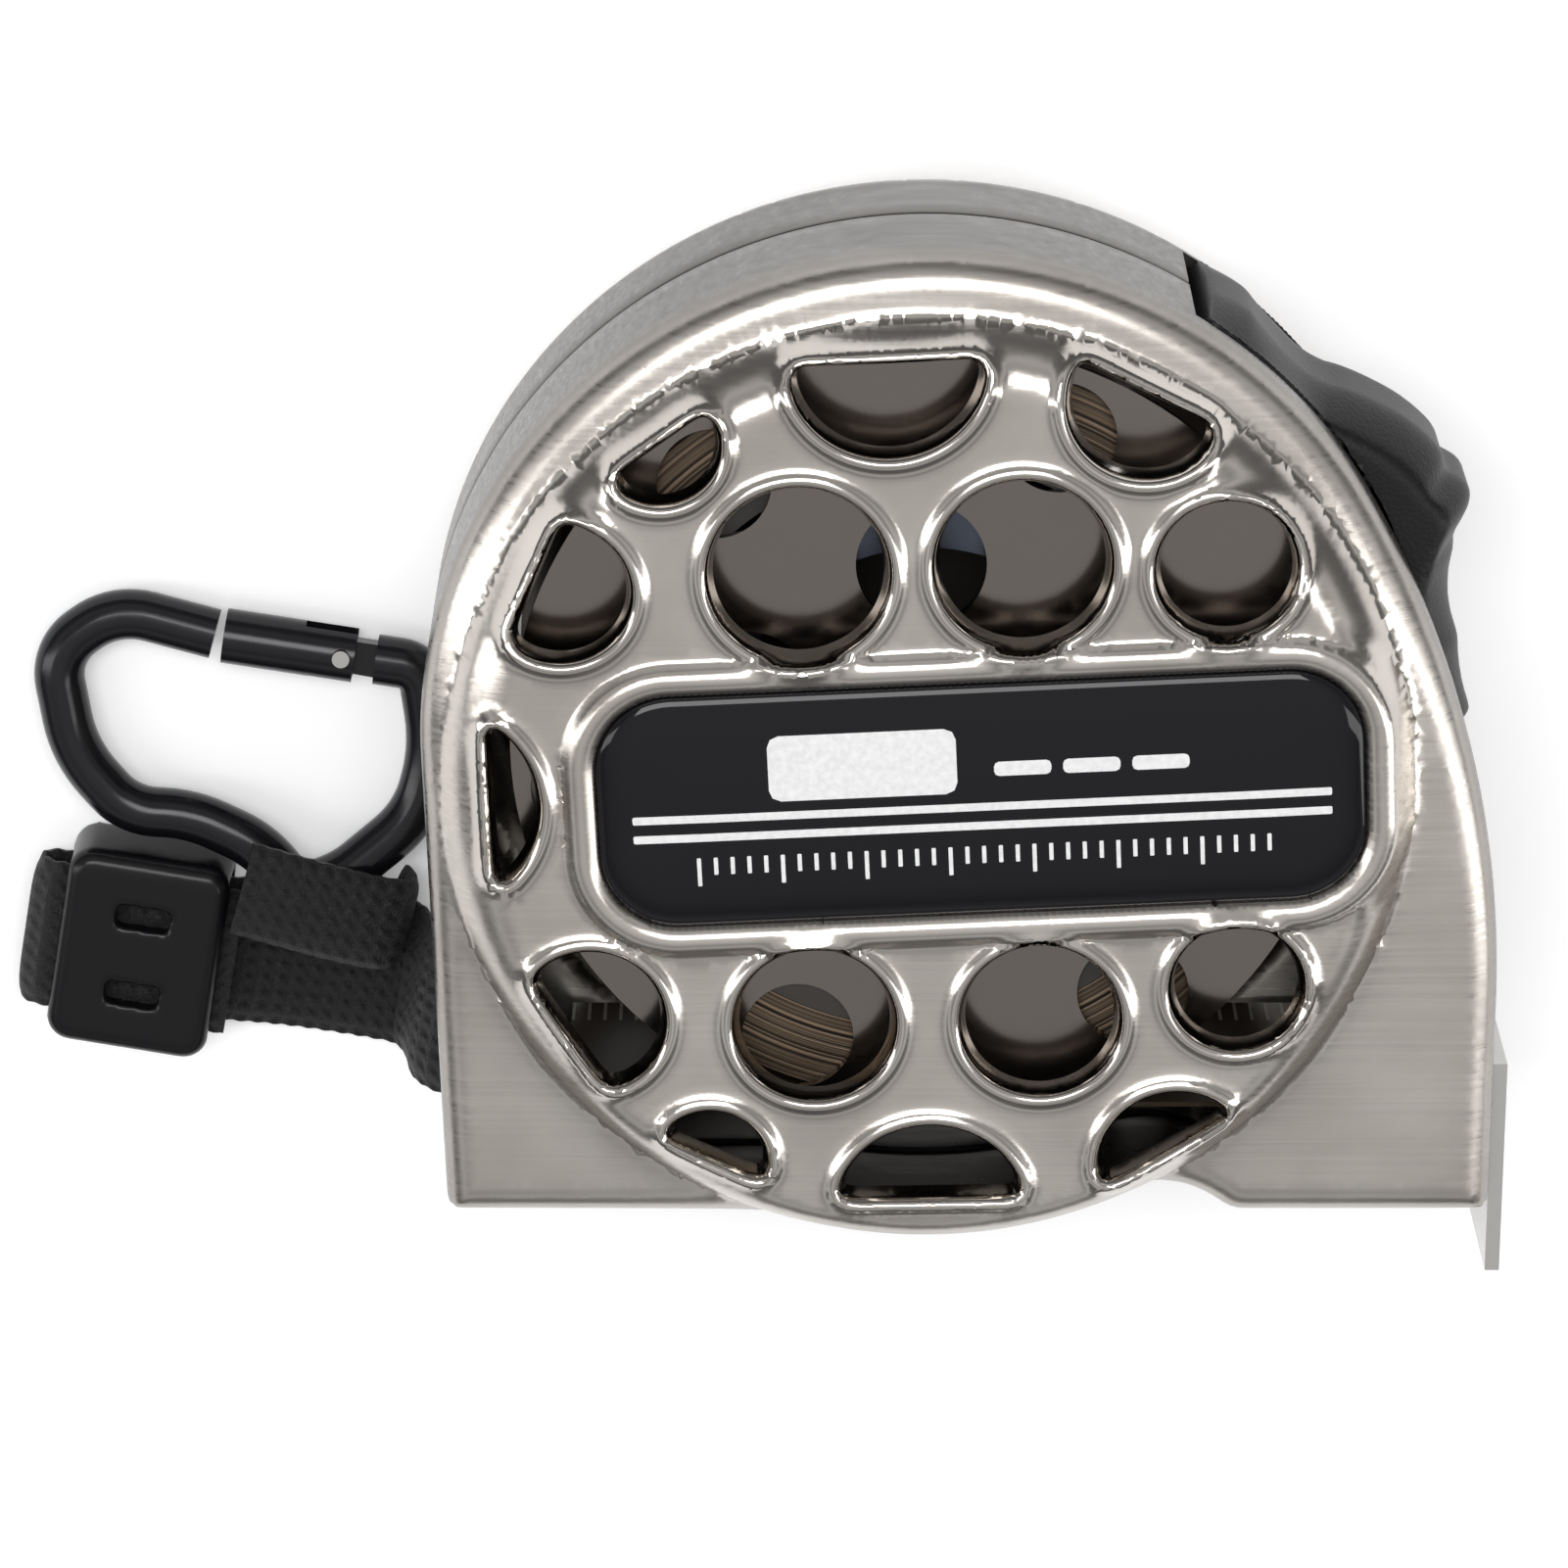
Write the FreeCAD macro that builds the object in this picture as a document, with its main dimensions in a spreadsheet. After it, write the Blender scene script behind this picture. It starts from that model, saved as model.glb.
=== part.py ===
import FreeCAD, Part
import math
import os
import re

import Sketcher
from FreeCAD import Placement, Rotation, Vector

# A pocket tape measure that lies on its back. X runs to the mouth, Y up the case and Z out of
# the face. The origin is on the back face, on the reel's axis. All sizes are in millimetres.

DIMENSIONS = {
    # case: two pressed steel shells that meet on a plane across the reel's axis
    "case_radius": 30.4,
    "belly_radius": 31.3,
    "belly_end": 68.5,
    "dip_radius": 6.9,
    "foot_drop": 30.7,
    "foot_left": 29.3,
    "mouth_reach": 34.9,
    "mouth_wall_top": 17.0,
    "parting": 13.6,
    "gauge": 0.8,
    "front_depth": 13.2,
    "front_step": 2.8,
    "back_depth": 13.6,
    "back_step": 4.4,
    "edge_round": 2.0,
    "disc_radius": 28.9,
    "disc_drop": 2.0,
    "disc_shoulder": 2.4,
    # openings in both faces
    "big_window": 4.5,
    "mid_window": 4.35,
    "small_window": 3.7,
    # label and its raised frame
    "label_half_length": 22.9,
    "label_half_height": 7.3,
    "label_corner": 4.6,
    "label_shift": 3.2,
    "label_turn": 2.7,
    "label_seat": 0.3,
    "label_thickness": 1.0,
    "frame_width": 1.9,
    "frame_rise": 0.8,
    # reel
    "tape_width": 16.0,
    "coil_radius": 23.6,
    "drum_radius": 18.8,
    "drum_wall": 1.4,
    "flange_radius": 25.0,
    "flange_gauge": 0.6,
    "side_gap": 0.3,
    "post_radius": 3.0,
    "post_foot": 6.0,
    "post_foot_height": 1.2,
    "spacer_radius": 5.0,
    "spring_outer": 16.8,
    "spring_inner": 11.5,
    "running_gap": 0.05,
    "outer_port": 3.4,
    "outer_port_ring": 20.6,
    "inner_port": 3.9,
    "inner_port_ring": 11.2,
    # blade and end hook
    "blade_gauge": 0.3,
    "blade_tail": 22.0,
    "coil_gap": 0.3,
    "hook_gauge": 0.9,
    "hook_rise": 2.0,
    "hook_fall": 11.6,
    "hook_leaf": 9.5,
    "hook_gap": 0.15,
    "hook_play": 0.8,
    "rivet_radius": 1.1,
    # thumb lock
    "lock_width": 13.0,
    "lock_gap": 0.35,
    "lock_skirt": 28.6,
    "lock_arm_width": 10.0,
    "arm_inside": 25.7,
    "arm_top": 7.2,
    "pad_top": -19.6,
    "pad_gauge": 0.6,
    # fasteners
    "case_post": 1.9,
    "screw_radius": 0.8,
    "screw_head": 1.6,
    "screw_head_height": 0.6,
    # strap and carabiner
    "strap_width": 10.0,
    "loop_width": 6.4,
    "strap_gauge": 1.0,
    "rod_radius": 1.6,
    "gate_radius": 1.75,
    "gate_pin": 0.55,
    "slider_length": 10.4,
    "slider_width": 13.2,
    "slider_height": 5.8,
    "channel_low": 1.2,
}

doc = FreeCAD.newDocument("tape_measure")
sheet = doc.addObject("Spreadsheet::Sheet", "Sizes")
for row, (alias, value) in enumerate(DIMENSIONS.items(), start=1):
    sheet.set("A%d" % row, alias)
    sheet.set("B%d" % row, str(value))
    sheet.setAlias("B%d" % row, alias)
doc.recompute()

subparts = []


# ---------------------------------------------------------------- helpers


def size(alias):
    """One driving dimension, read back from the sheet."""
    return float(sheet.get(alias))


def formula(text):
    """Text with each alias pointing at the sheet."""
    text = str(text)
    return re.sub(r"[a-z_]+", lambda m: "Sizes." + m[0] if m[0] in DIMENSIONS else m[0], text)


def worth(text):
    """The value of a formula."""
    return float(sheet.evalExpression(formula(text)))


def bind(thing, **sizes):
    for name, text in sizes.items():
        thing.setExpression(name.replace("__", "."), formula(text))


def body(label, lift="0"):
    """A new body, raised to a height."""
    made = doc.addObject("PartDesign::Body", label)
    made.Label = label
    bind(made, Placement__Base__z=lift)
    subparts.append(made)
    return made


def sketch_in(owner, role="XY_Plane", lift="0", name="profile"):
    """A sketch on one of the body's own planes, moved along its normal."""
    made = owner.newObject("Sketcher::SketchObject", owner.Label + "_" + name)
    plane = [p for p in owner.Origin.OriginFeatures if p.Role == role][0]
    made.AttachmentSupport = [(plane, "")]
    made.MapMode = "FlatFace"
    bind(made, AttachmentOffset__Base__z=lift)
    return made


def pin_down(sketch, edge, end, x, y):
    """Ties one point of a sketch to its two coordinates."""
    for kind, text in (("DistanceX", x), ("DistanceY", y)):
        rule = Sketcher.Constraint(kind, -1, 1, edge, end, worth(text))
        index = sketch.addConstraint(rule)
        sketch.setExpression("Constraints[%d]" % index, formula(text))


def circle(sketch, x, y, radius):
    centre = Vector(worth(x), worth(y), 0)
    shape = Part.Circle(centre, Vector(0, 0, 1), worth(radius))
    edge = sketch.addGeometry(shape)
    pin_down(sketch, edge, 3, x, y)
    index = sketch.addConstraint(Sketcher.Constraint("Radius", edge, worth(radius)))
    sketch.setExpression("Constraints[%d]" % index, formula(radius))


def arc_between(a, b, radius, side):
    """The minor arc from a to b. Side 1 turns left and -1 turns right."""
    half = (b - a) * 0.5
    rise = math.sqrt(max(radius * radius - half.Length**2, 0.0))
    across = Vector(-half.y, half.x, 0).normalize()
    centre = a + half + across * rise * side
    middle = centre - across * radius * side
    first, last = (a, b) if side > 0 else (b, a)
    return Part.Arc(first, middle, last)


def outline(sketch, start, steps, closed=True):
    """Lines and arcs through points. A step is (x, y) or (x, y, radius, side)."""
    points = [start] + [step[:2] for step in steps]
    spots = [Vector(worth(x), worth(y), 0) for x, y in points]
    ends = []
    for number, step in enumerate(steps):
        a, b = spots[number], spots[number + 1]
        if len(step) == 2:
            edge = sketch.addGeometry(Part.LineSegment(a, b))
            ends.append((edge, 1, 2))
        else:
            radius, side = step[2:]
            edge = sketch.addGeometry(arc_between(a, b, worth(radius), side))
            ends.append((edge, 1, 2) if side > 0 else (edge, 2, 1))
            index = sketch.addConstraint(Sketcher.Constraint("Radius", edge, worth(radius)))
            sketch.setExpression("Constraints[%d]" % index, formula(radius))
    for number, (edge, first, _) in enumerate(ends):
        pin_down(sketch, edge, first, *points[number])
        before, _, last = ends[number - 1]
        if closed or number:
            sketch.addConstraint(Sketcher.Constraint("Coincident", before, last, edge, first))
    if not closed:
        pin_down(sketch, ends[-1][0], ends[-1][2], *points[-1])


def box_outline(sketch, left, low, right, high):
    outline(sketch, (left, low), [(right, low), (right, high), (left, high), (left, low)])


def rounded_box(sketch, half_x, half_y, corner):
    """A rectangle about the sketch's origin with round corners."""
    flat_x = "(%s) - (%s)" % (half_x, corner)
    flat_y = "(%s) - (%s)" % (half_y, corner)
    outline(
        sketch,
        ("-(%s)" % flat_x, "-(%s)" % half_y),
        [
            (flat_x, "-(%s)" % half_y),
            (half_x, "-(%s)" % flat_y, corner, 1),
            (half_x, flat_y),
            (flat_x, half_y, corner, 1),
            ("-(%s)" % flat_x, half_y),
            ("-(%s)" % half_x, flat_y, corner, 1),
            ("-(%s)" % half_x, "-(%s)" % flat_y),
            ("-(%s)" % flat_x, "-(%s)" % half_y, corner, 1),
        ],
    )


def extrude(owner, sketch, length, kind="PartDesign::Pad", down=False, both=False):
    """A pad or pocket. Pads go up and pockets go up too unless down is set."""
    made = owner.newObject(kind, sketch.Name + "_" + kind[12:].lower())
    made.Profile = sketch
    bind(made, Length=length)
    made.Reversed = down if kind == "PartDesign::Pad" else not down
    made.Midplane = both
    sketch.Visibility = False
    doc.recompute()
    return made


def pocket(owner, sketch, length, down=False):
    before = owner.Shape.Volume
    made = extrude(owner, sketch, length, "PartDesign::Pocket", down)
    if owner.Shape.Volume > before - 1e-3:
        raise RuntimeError(made.Name + " cuts nothing")
    return made


def revolve(owner, sketch, kind="PartDesign::Revolution"):
    made = owner.newObject(kind, sketch.Name + "_turned")
    made.Profile = sketch
    made.ReferenceAxis = (sketch, ["V_Axis"])
    made.Angle = 360.0
    doc.recompute()
    return made


def round_off(owner, radius, wanted, kind="PartDesign::Fillet"):
    """Rounds or chamfers the edges that wanted picks."""
    base = owner.Tip
    edges = ["Edge%d" % (i + 1) for i, e in enumerate(base.Shape.Edges) if wanted(e)]
    made = owner.newObject(kind, owner.Label + "_round")
    made.Base = (base, edges)
    if kind == "PartDesign::Fillet":
        bind(made, Radius=radius)
    else:
        bind(made, Size=radius)
    doc.recompute()
    return made


def ring(label, outer, inner, height, lift):
    """A plain washer or tube about the reel's axis."""
    made = body(label, lift)
    profile = sketch_in(made)
    circle(profile, 0, 0, outer)
    circle(profile, 0, 0, inner)
    extrude(made, profile, height)
    return made


# ---------------------------------------------------------------- case shells

# Windows of both faces: circles as (x, y, size), and half moons as
# (x, y, turn of the flat side, length along it, depth across it).
ROUND_WINDOWS = [
    (-7.7, 12.0, "big_window"),
    (5.5, 12.6, "big_window"),
    (17.5, 12.3, "small_window"),
    (-6.7, -16.6, "mid_window"),
    (6.9, -16.3, "mid_window"),
    (18.7, -14.2, "small_window"),
]
MOON_WINDOWS = [
    (-2.4, 22.0, 93, 11.0, 5.0),
    (11.6, 20.6, 63, 8.8, 4.4),
    (-14.8, 18.4, 126, 6.6, 3.0),
    (-20.6, 10.3, 157, 7.4, 5.4),
    (-24.6, -2.5, 182, 9.8, 2.4),
    (-19.0, -15.6, 213, 8.0, 5.6),
    (-12.2, -24.0, 245, 6.4, 2.6),
    (0.3, -25.6, 271, 10.8, 4.2),
    (13.8, -23.3, 301, 8.6, 3.2),
]


def case_outline(sketch, side, inset):
    """The case's edge seen from the front, moved inwards by inset. Side -1 mirrors X."""
    belly = "(belly_radius - %s)" % inset
    floor = "(foot_drop - %s)" % inset
    wall = "(mouth_reach - %s)" % inset
    shell = "(case_radius - %s)" % inset
    dip = "(dip_radius + %s)" % inset
    dip_x = "((belly_radius + dip_radius) * cos(belly_end))"
    dip_y = "((belly_radius + dip_radius) * sin(belly_end))"
    flank = "((mouth_reach^2 + mouth_wall_top^2 - case_radius^2) / (2 * (mouth_reach - case_radius)))"
    reach = "sqrt((%s - mouth_reach)^2 + mouth_wall_top^2)" % flank
    points = [
        ("-sqrt(%s^2 - %s^2)" % (belly, floor), "-" + floor),
        ("%s * cos(belly_end)" % belly, "-%s * sin(belly_end)" % belly, belly, 1),
        ("%s + sqrt(%s^2 - (%s - %s)^2)" % (dip_x, dip, dip_y, floor), "-" + floor, dip, -1),
        (wall, "-" + floor),
        (wall, "-mouth_wall_top"),
        (
            "%s * (%s - mouth_reach) / %s" % (shell, flank, reach),
            "%s * mouth_wall_top / %s" % (shell, reach),
            "%s - %s" % (flank, inset),
            1,
        ),
        (0, shell, shell, 1),
        ("-" + shell, 0, shell, 1),
        ("-(foot_left - %s)" % inset, "-" + floor),
    ]
    if side < 0:
        points = [("-(%s)" % p[0],) + p[1:3] + tuple(-s for s in p[3:]) for p in points]
    start = points[-1][:2]
    outline(sketch, start, points)


def disc_profile(sketch, depth, inset):
    """Half of the raised disc's section: a flat face with a round shoulder."""
    radius = "(disc_radius - %s)" % inset
    top = "(%s - %s)" % (depth, inset)
    low = "(%s - disc_shoulder)" % top
    outline(
        sketch,
        (0, "parting / 3"),
        [
            (radius, "parting / 3"),
            (radius, low),
            ("%s - disc_shoulder" % radius, top, "disc_shoulder", 1),
            (0, top),
            (0, "parting / 3"),
        ],
    )


def draw_windows(sketch, side):
    for x, y, radius in ROUND_WINDOWS:
        circle(sketch, side * x, y, radius)
    for x, y, turn, length, depth in MOON_WINDOWS:
        out = Vector(math.cos(math.radians(turn)), math.sin(math.radians(turn)), 0)
        along = Vector(-out.y, out.x, 0)
        flat = Vector(x, y, 0) + out * depth / 2
        ends = [flat + along * length / 2, flat - along * length / 2]
        bulge = (length * length / 4 + depth * depth) / (2 * depth)
        far = Vector(x, y, 0) - out * depth / 2
        (ax, ay), (mx, my), (bx, by) = [(side * p.x, p.y) for p in (ends[0], far, ends[1])]
        outline(sketch, (ax, ay), [(mx, my, bulge, side), (bx, by, bulge, side), (ax, ay)])


def move_sketch(sketch, x, y):
    bind(sketch, AttachmentOffset__Base__x=x, AttachmentOffset__Base__y=y)


def shell(label, side, depth, step):
    """One half of the case, built upwards from the parting plane. The back is turned over."""
    made = body(label, "parting")
    if side < 0:
        made.Placement = Placement(Vector(0, 0, 0), Rotation(Vector(0, 1, 0), 180))
        bind(made, Placement__Base__z="parting")
    rim = "(%s - %s)" % (depth, step)
    edge = sketch_in(made, name="edge")
    case_outline(edge, side, "0")
    extrude(made, edge, rim)
    height = worth(rim)
    round_off(made, "edge_round", lambda e: all(abs(v.Z - height) < 1e-6 for v in e.Vertexes))

    disc = sketch_in(made, "XZ_Plane", "disc_drop", "disc")
    disc_profile(disc, depth, "0")
    revolve(made, disc)

    hollow = sketch_in(made, name="hollow")
    case_outline(hollow, side, "gauge")
    pocket(made, hollow, "%s - gauge" % rim)
    inside = sketch_in(made, "XZ_Plane", "disc_drop", "inside")
    disc_profile(inside, depth, "gauge")
    revolve(made, inside, "PartDesign::Groove")
    return made


def punch_windows(made, side, depth):
    windows = sketch_in(made, lift="%s + 1" % depth, name="windows")
    draw_windows(windows, side)
    pocket(made, windows, "disc_shoulder + 2", down=True)


def cut_lock_window(made, side):
    """The gap in the rim that the thumb lock slides in."""
    gap = sketch_in(made, name="lock_gap")
    low, high, near, far = math.radians(6), math.radians(58.5), 27.0, 40.0
    corners = [(near, low), (far, low), (far, high), (near, high), (near, low)]
    points = [(side * r * math.cos(a), r * math.sin(a)) for r, a in corners]
    outline(gap, points[0], points[1:])
    pocket(made, gap, "lock_width / 2 + lock_gap")


def cut_mouth(made, side):
    """The slot in the right wall for the blade and the hook's leaf."""
    slot = sketch_in(made, name="mouth")
    low = "-(coil_radius + coil_gap + blade_gauge + hook_gauge + 1.0)"
    high = "-(coil_radius + coil_gap - 0.9)"
    near, far = "mouth_reach - gauge - 1", "mouth_reach + 1"
    if side < 0:
        near, far = "-(%s)" % far, "-(%s)" % near
    box_outline(slot, near, low, far, high)
    pocket(made, slot, "tape_width / 2 + 0.4")


front_shell = shell("front_shell", 1, "front_depth", "front_step")
punch_windows(front_shell, 1, "front_depth")
cut_lock_window(front_shell, 1)
cut_mouth(front_shell, 1)


def turned_label_sketch(owner, lift, name):
    """A sketch over the label's centre, turned as the label is."""
    made = sketch_in(owner, lift=lift, name=name)
    move_sketch(made, "label_shift", "-disc_drop")
    bind(made, AttachmentOffset__Rotation__Angle="label_turn")
    return made


frame = turned_label_sketch(front_shell, "front_depth - label_seat", "frame")
rounded_box(
    frame,
    "label_half_length + frame_width",
    "label_half_height + frame_width",
    "label_corner + frame_width",
)
rounded_box(frame, "label_half_length", "label_half_height", "label_corner")
extrude(front_shell, frame, "label_seat + frame_rise")
seat = turned_label_sketch(front_shell, "front_depth + 1", "seat")
rounded_box(seat, "label_half_length", "label_half_height", "label_corner")
pocket(front_shell, seat, "label_seat + 1", down=True)

back_shell = shell("back_shell", -1, "back_depth", "back_step")
punch_windows(back_shell, -1, "back_depth")
cut_lock_window(back_shell, -1)
cut_mouth(back_shell, -1)

# The strap's slot, low in the left wall of the back half. The back's X is mirrored.
strap_slot = sketch_in(back_shell, lift="parting - 9.3", name="strap_slot")
box_outline(strap_slot, "foot_left - 3", -29.8, "foot_left + 3", -19.2)
pocket(back_shell, strap_slot, "2 * strap_gauge")

# Three screws go through the back's low rim into posts that stand on the front's rim.
POSTS = [(-27.0, -17.2), (-17.5, -27.7), (21.0, -27.6)]
screw_holes = sketch_in(back_shell, name="screw_holes")
for x, y in POSTS:
    circle(screw_holes, -x, y, "screw_radius + 0.1")
pocket(back_shell, screw_holes, "back_depth")

# ---------------------------------------------------------------- label

label_plate = body("label_plate", "parting + front_depth - label_seat")
outline_of_label = sketch_in(label_plate)
move_sketch(outline_of_label, "label_shift", "-disc_drop")
bind(outline_of_label, AttachmentOffset__Rotation__Angle="label_turn")
rounded_box(
    outline_of_label,
    "label_half_length - 0.05",
    "label_half_height - 0.05",
    "label_corner - 0.05",
)
extrude(label_plate, outline_of_label, "label_thickness")
label_top = worth("label_thickness")
round_off(
    label_plate,
    0.6,
    lambda e: all(abs(v.Z - label_top) < 1e-6 for v in e.Vertexes),
)

# ---------------------------------------------------------------- posts, screws and spacers

BACK_RIM = "(parting - back_depth + back_step + gauge)"
FRONT_RIM = "(parting + front_depth - front_step - gauge)"
FRONT_FACE = "(parting + front_depth - gauge)"
BACK_FACE = "(parting - back_depth + gauge)"


def cylinder(name, x, y, z, radius, height, axis=None):
    """A round bar that stands on a point, along Z unless an axis is given."""
    made = doc.addObject("Part::Cylinder", name)
    bind(made, Radius=radius, Height=height)
    bind(made, Placement__Base__x=x, Placement__Base__y=y, Placement__Base__z=z)
    if axis:
        made.Placement.Rotation = Rotation(Vector(0, 0, 1), axis)
    return made


def join(label, pieces):
    """Several pieces as one node. Those that don't touch stay separate solids."""
    made = doc.addObject("Part::MultiFuse", label)
    made.Label = label
    made.Shapes = pieces
    subparts.append(made)
    return made


case_posts = body("case_posts", BACK_RIM)
case_posts.AllowCompound = True
post_profile = sketch_in(case_posts)
for x, y in POSTS:
    circle(post_profile, x, y, "case_post")
    circle(post_profile, x, y, "screw_radius + 0.02")
extrude(case_posts, post_profile, "%s - %s" % (FRONT_RIM, BACK_RIM))

screw_pieces = []
for number, (x, y) in enumerate(POSTS):
    under = "%s - gauge" % BACK_RIM
    screw_pieces += [
        cylinder(
            "screw_head_%d" % number,
            x,
            y,
            "%s - screw_head_height" % under,
            "screw_head",
            "screw_head_height",
        ),
        cylinder("screw_shank_%d" % number, x, y, under, "screw_radius", "gauge + 8"),
    ]
case_screws = join("case_screws", screw_pieces)

centre_post = body("centre_post", BACK_FACE)
foot = sketch_in(centre_post, name="foot")
circle(foot, 0, 0, "post_foot")
extrude(centre_post, foot, "post_foot_height")
shaft = sketch_in(centre_post, name="shaft")
circle(shaft, 0, 0, "post_radius")
extrude(centre_post, shaft, "%s - %s" % (FRONT_FACE, BACK_FACE))
slit = sketch_in(centre_post, lift="6", name="slit")
box_outline(slit, -4, -0.35, 0, 0.35)
pocket(centre_post, slit, "tape_width - 2")

# ---------------------------------------------------------------- reel

TAPE_LOW = "(parting - tape_width / 2)"
FLANGE_LOW = "(%s - side_gap - flange_gauge)" % TAPE_LOW
DRUM_LOW = "(%s - side_gap)" % TAPE_LOW
DRUM_HEIGHT = "(tape_width + 2 * side_gap)"
BORE = "post_radius + running_gap"


def flange(label, lift):
    """A polished side disc of the reel, with ports that show the wound tape."""
    made = body(label, lift)
    disc = sketch_in(made, name="disc")
    circle(disc, 0, 0, "flange_radius")
    circle(disc, 0, 0, BORE)
    for number in range(6):
        turn = math.radians(60 * number + 8)
        across = (math.cos(turn), math.sin(turn))
        circle(disc, *["outer_port_ring * %.6f" % c for c in across], "outer_port")
    for number in range(5):
        turn = math.radians(72 * number + 20)
        across = (math.cos(turn), math.sin(turn))
        circle(disc, *["inner_port_ring * %.6f" % c for c in across], "inner_port")
    extrude(made, disc, "flange_gauge")
    return made


back_flange = flange("back_flange", FLANGE_LOW)
front_flange = flange("front_flange", "%s + %s" % (DRUM_LOW, DRUM_HEIGHT))

drum = body("drum", DRUM_LOW)
drum_floor = sketch_in(drum, name="floor")
circle(drum_floor, 0, 0, "drum_radius")
circle(drum_floor, 0, 0, BORE)
extrude(drum, drum_floor, "drum_wall")
drum_side = sketch_in(drum, name="side")
circle(drum_side, 0, 0, "drum_radius")
circle(drum_side, 0, 0, "drum_radius - drum_wall")
extrude(drum, drum_side, DRUM_HEIGHT)

power_spring = ring(
    "power_spring",
    "spring_outer",
    "spring_inner",
    "tape_width - 2 * drum_wall",
    "%s + drum_wall + side_gap" % DRUM_LOW,
)
tape_coil = ring("tape_coil", "coil_radius", "drum_radius", "tape_width", TAPE_LOW)
back_spacer = ring(
    "back_spacer",
    "spacer_radius",
    BORE,
    "%s - side_gap - (%s + post_foot_height)" % (FLANGE_LOW, BACK_FACE),
    "%s + post_foot_height" % BACK_FACE,
)
SPACER_LOW = "(%s + %s + flange_gauge + side_gap)" % (DRUM_LOW, DRUM_HEIGHT)
front_spacer = ring(
    "front_spacer", "spacer_radius", BORE, "%s - %s" % (FRONT_FACE, SPACER_LOW), SPACER_LOW
)

# ---------------------------------------------------------------- blade, rivets and hook

BLADE_TOP = "-(coil_radius + coil_gap)"
BLADE_LOW = "(%s - blade_gauge)" % BLADE_TOP
LEAF_TOP = "(%s - running_gap)" % BLADE_LOW
LEAF_LOW = "(%s - hook_gauge)" % LEAF_TOP
HOOK_FACE = "(mouth_reach + hook_gap)"
RIVETS = [(-7.0, -3.2), (-7.0, 3.2), (-3.2, -3.2), (-3.2, 3.2)]

tape_blade = body("tape_blade", TAPE_LOW)
blade_edge = sketch_in(tape_blade)
box_outline(blade_edge, "-blade_tail", BLADE_LOW, "%s - 0.1" % HOOK_FACE, BLADE_TOP)
extrude(tape_blade, blade_edge, "tape_width")
holes = sketch_in(tape_blade, "XZ_Plane", "-(%s) - 1" % BLADE_TOP, "holes")
for x, z in RIVETS:
    circle(holes, "%s + (%s)" % (HOOK_FACE, x), "tape_width / 2 + (%s)" % z, "rivet_radius - 0.2")
pocket(tape_blade, holes, 4)

end_hook = body("end_hook", "parting")
hook_edge = sketch_in(end_hook)
outline(
    hook_edge,
    ("%s - hook_leaf" % HOOK_FACE, LEAF_LOW),
    [
        (HOOK_FACE, LEAF_LOW),
        (HOOK_FACE, "%s - hook_fall" % BLADE_LOW),
        ("%s + hook_gauge" % HOOK_FACE, "%s - hook_fall" % BLADE_LOW),
        ("%s + hook_gauge" % HOOK_FACE, "%s + hook_rise" % BLADE_TOP),
        (HOOK_FACE, "%s + hook_rise" % BLADE_TOP),
        (HOOK_FACE, LEAF_TOP),
        ("%s - hook_leaf" % HOOK_FACE, LEAF_TOP),
        ("%s - hook_leaf" % HOOK_FACE, LEAF_LOW),
    ],
)
extrude(end_hook, hook_edge, "tape_width - 2.4", both=True)
slots = sketch_in(end_hook, "XZ_Plane", "-(%s) - 0.5" % LEAF_TOP, "slots")
for x, z in RIVETS:
    left = "%s + (%s) - rivet_radius - hook_play" % (HOOK_FACE, x)
    right = "%s + (%s) + rivet_radius" % (HOOK_FACE, x)
    box_outline(slots, left, "%s - rivet_radius" % z, right, "%s + rivet_radius" % z)
pocket(end_hook, slots, "hook_gauge + 1")

rivet_pieces = []
for number, (x, z) in enumerate(RIVETS):
    place = ("%s + (%s)" % (HOOK_FACE, x), "parting + (%s)" % z)
    down = Vector(0, -1, 0)
    for name, top, radius, length in (
        ("head", "%s + 0.15" % BLADE_TOP, "rivet_radius + 0.5", "0.15"),
        ("shank", BLADE_TOP, "rivet_radius - 0.25", "blade_gauge + hook_gauge + 0.2"),
        ("foot", "%s - 0.1" % LEAF_LOW, "rivet_radius + 0.4", "0.35"),
    ):
        rivet_pieces.append(
            cylinder(
                "rivet_%s_%d" % (name, number), place[0], top, place[1], radius, length, down
            )
        )
hook_rivets = join("hook_rivets", rivet_pieces)

mouth_guide = body("mouth_guide", "%s + 0.05" % BACK_RIM)
guide_edge = sketch_in(mouth_guide)
box_outline(
    guide_edge,
    "mouth_reach - gauge - 10",
    "-(foot_drop - gauge) + 0.05",
    "mouth_reach - gauge - 0.05",
    "%s - 0.9" % LEAF_LOW,
)
extrude(mouth_guide, guide_edge, "%s - %s - 0.1" % (FRONT_RIM, BACK_RIM))

# ---------------------------------------------------------------- thumb lock


# A saddle of moulded plastic with a finger dish, a hump and a tail on the wall.
lock_button = body("lock_button", "parting")
lock_edge = sketch_in(lock_button)
lock_start = "lock_skirt * cos(57.5)", "lock_skirt * sin(57.5)"
outline(
    lock_edge,
    lock_start,
    [
        ("sqrt(lock_skirt^2 - 9^2)", 9, "lock_skirt", -1),
        ("arm_inside", 9),
        ("arm_inside", "arm_top"),
        (30.55, "arm_top"),
        (31.75, 3.6),
        (33.0, -0.5),
        (33.4, -0.5),
        (32.35, 4.6, 14, -1),
        (31.7, 9.4, 9, -1),
        (32.6, 12.6),
        (31.8, 15.2, 2, 1),
        (28.3, 18.6, 12, 1),
        (25.4, 20.3),
        (19.4, 24.9, 14, -1),
        (17.0, 26.1, 9, 1),
        lock_start,
    ],
)
extrude(lock_button, lock_edge, "lock_width", both=True)

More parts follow.
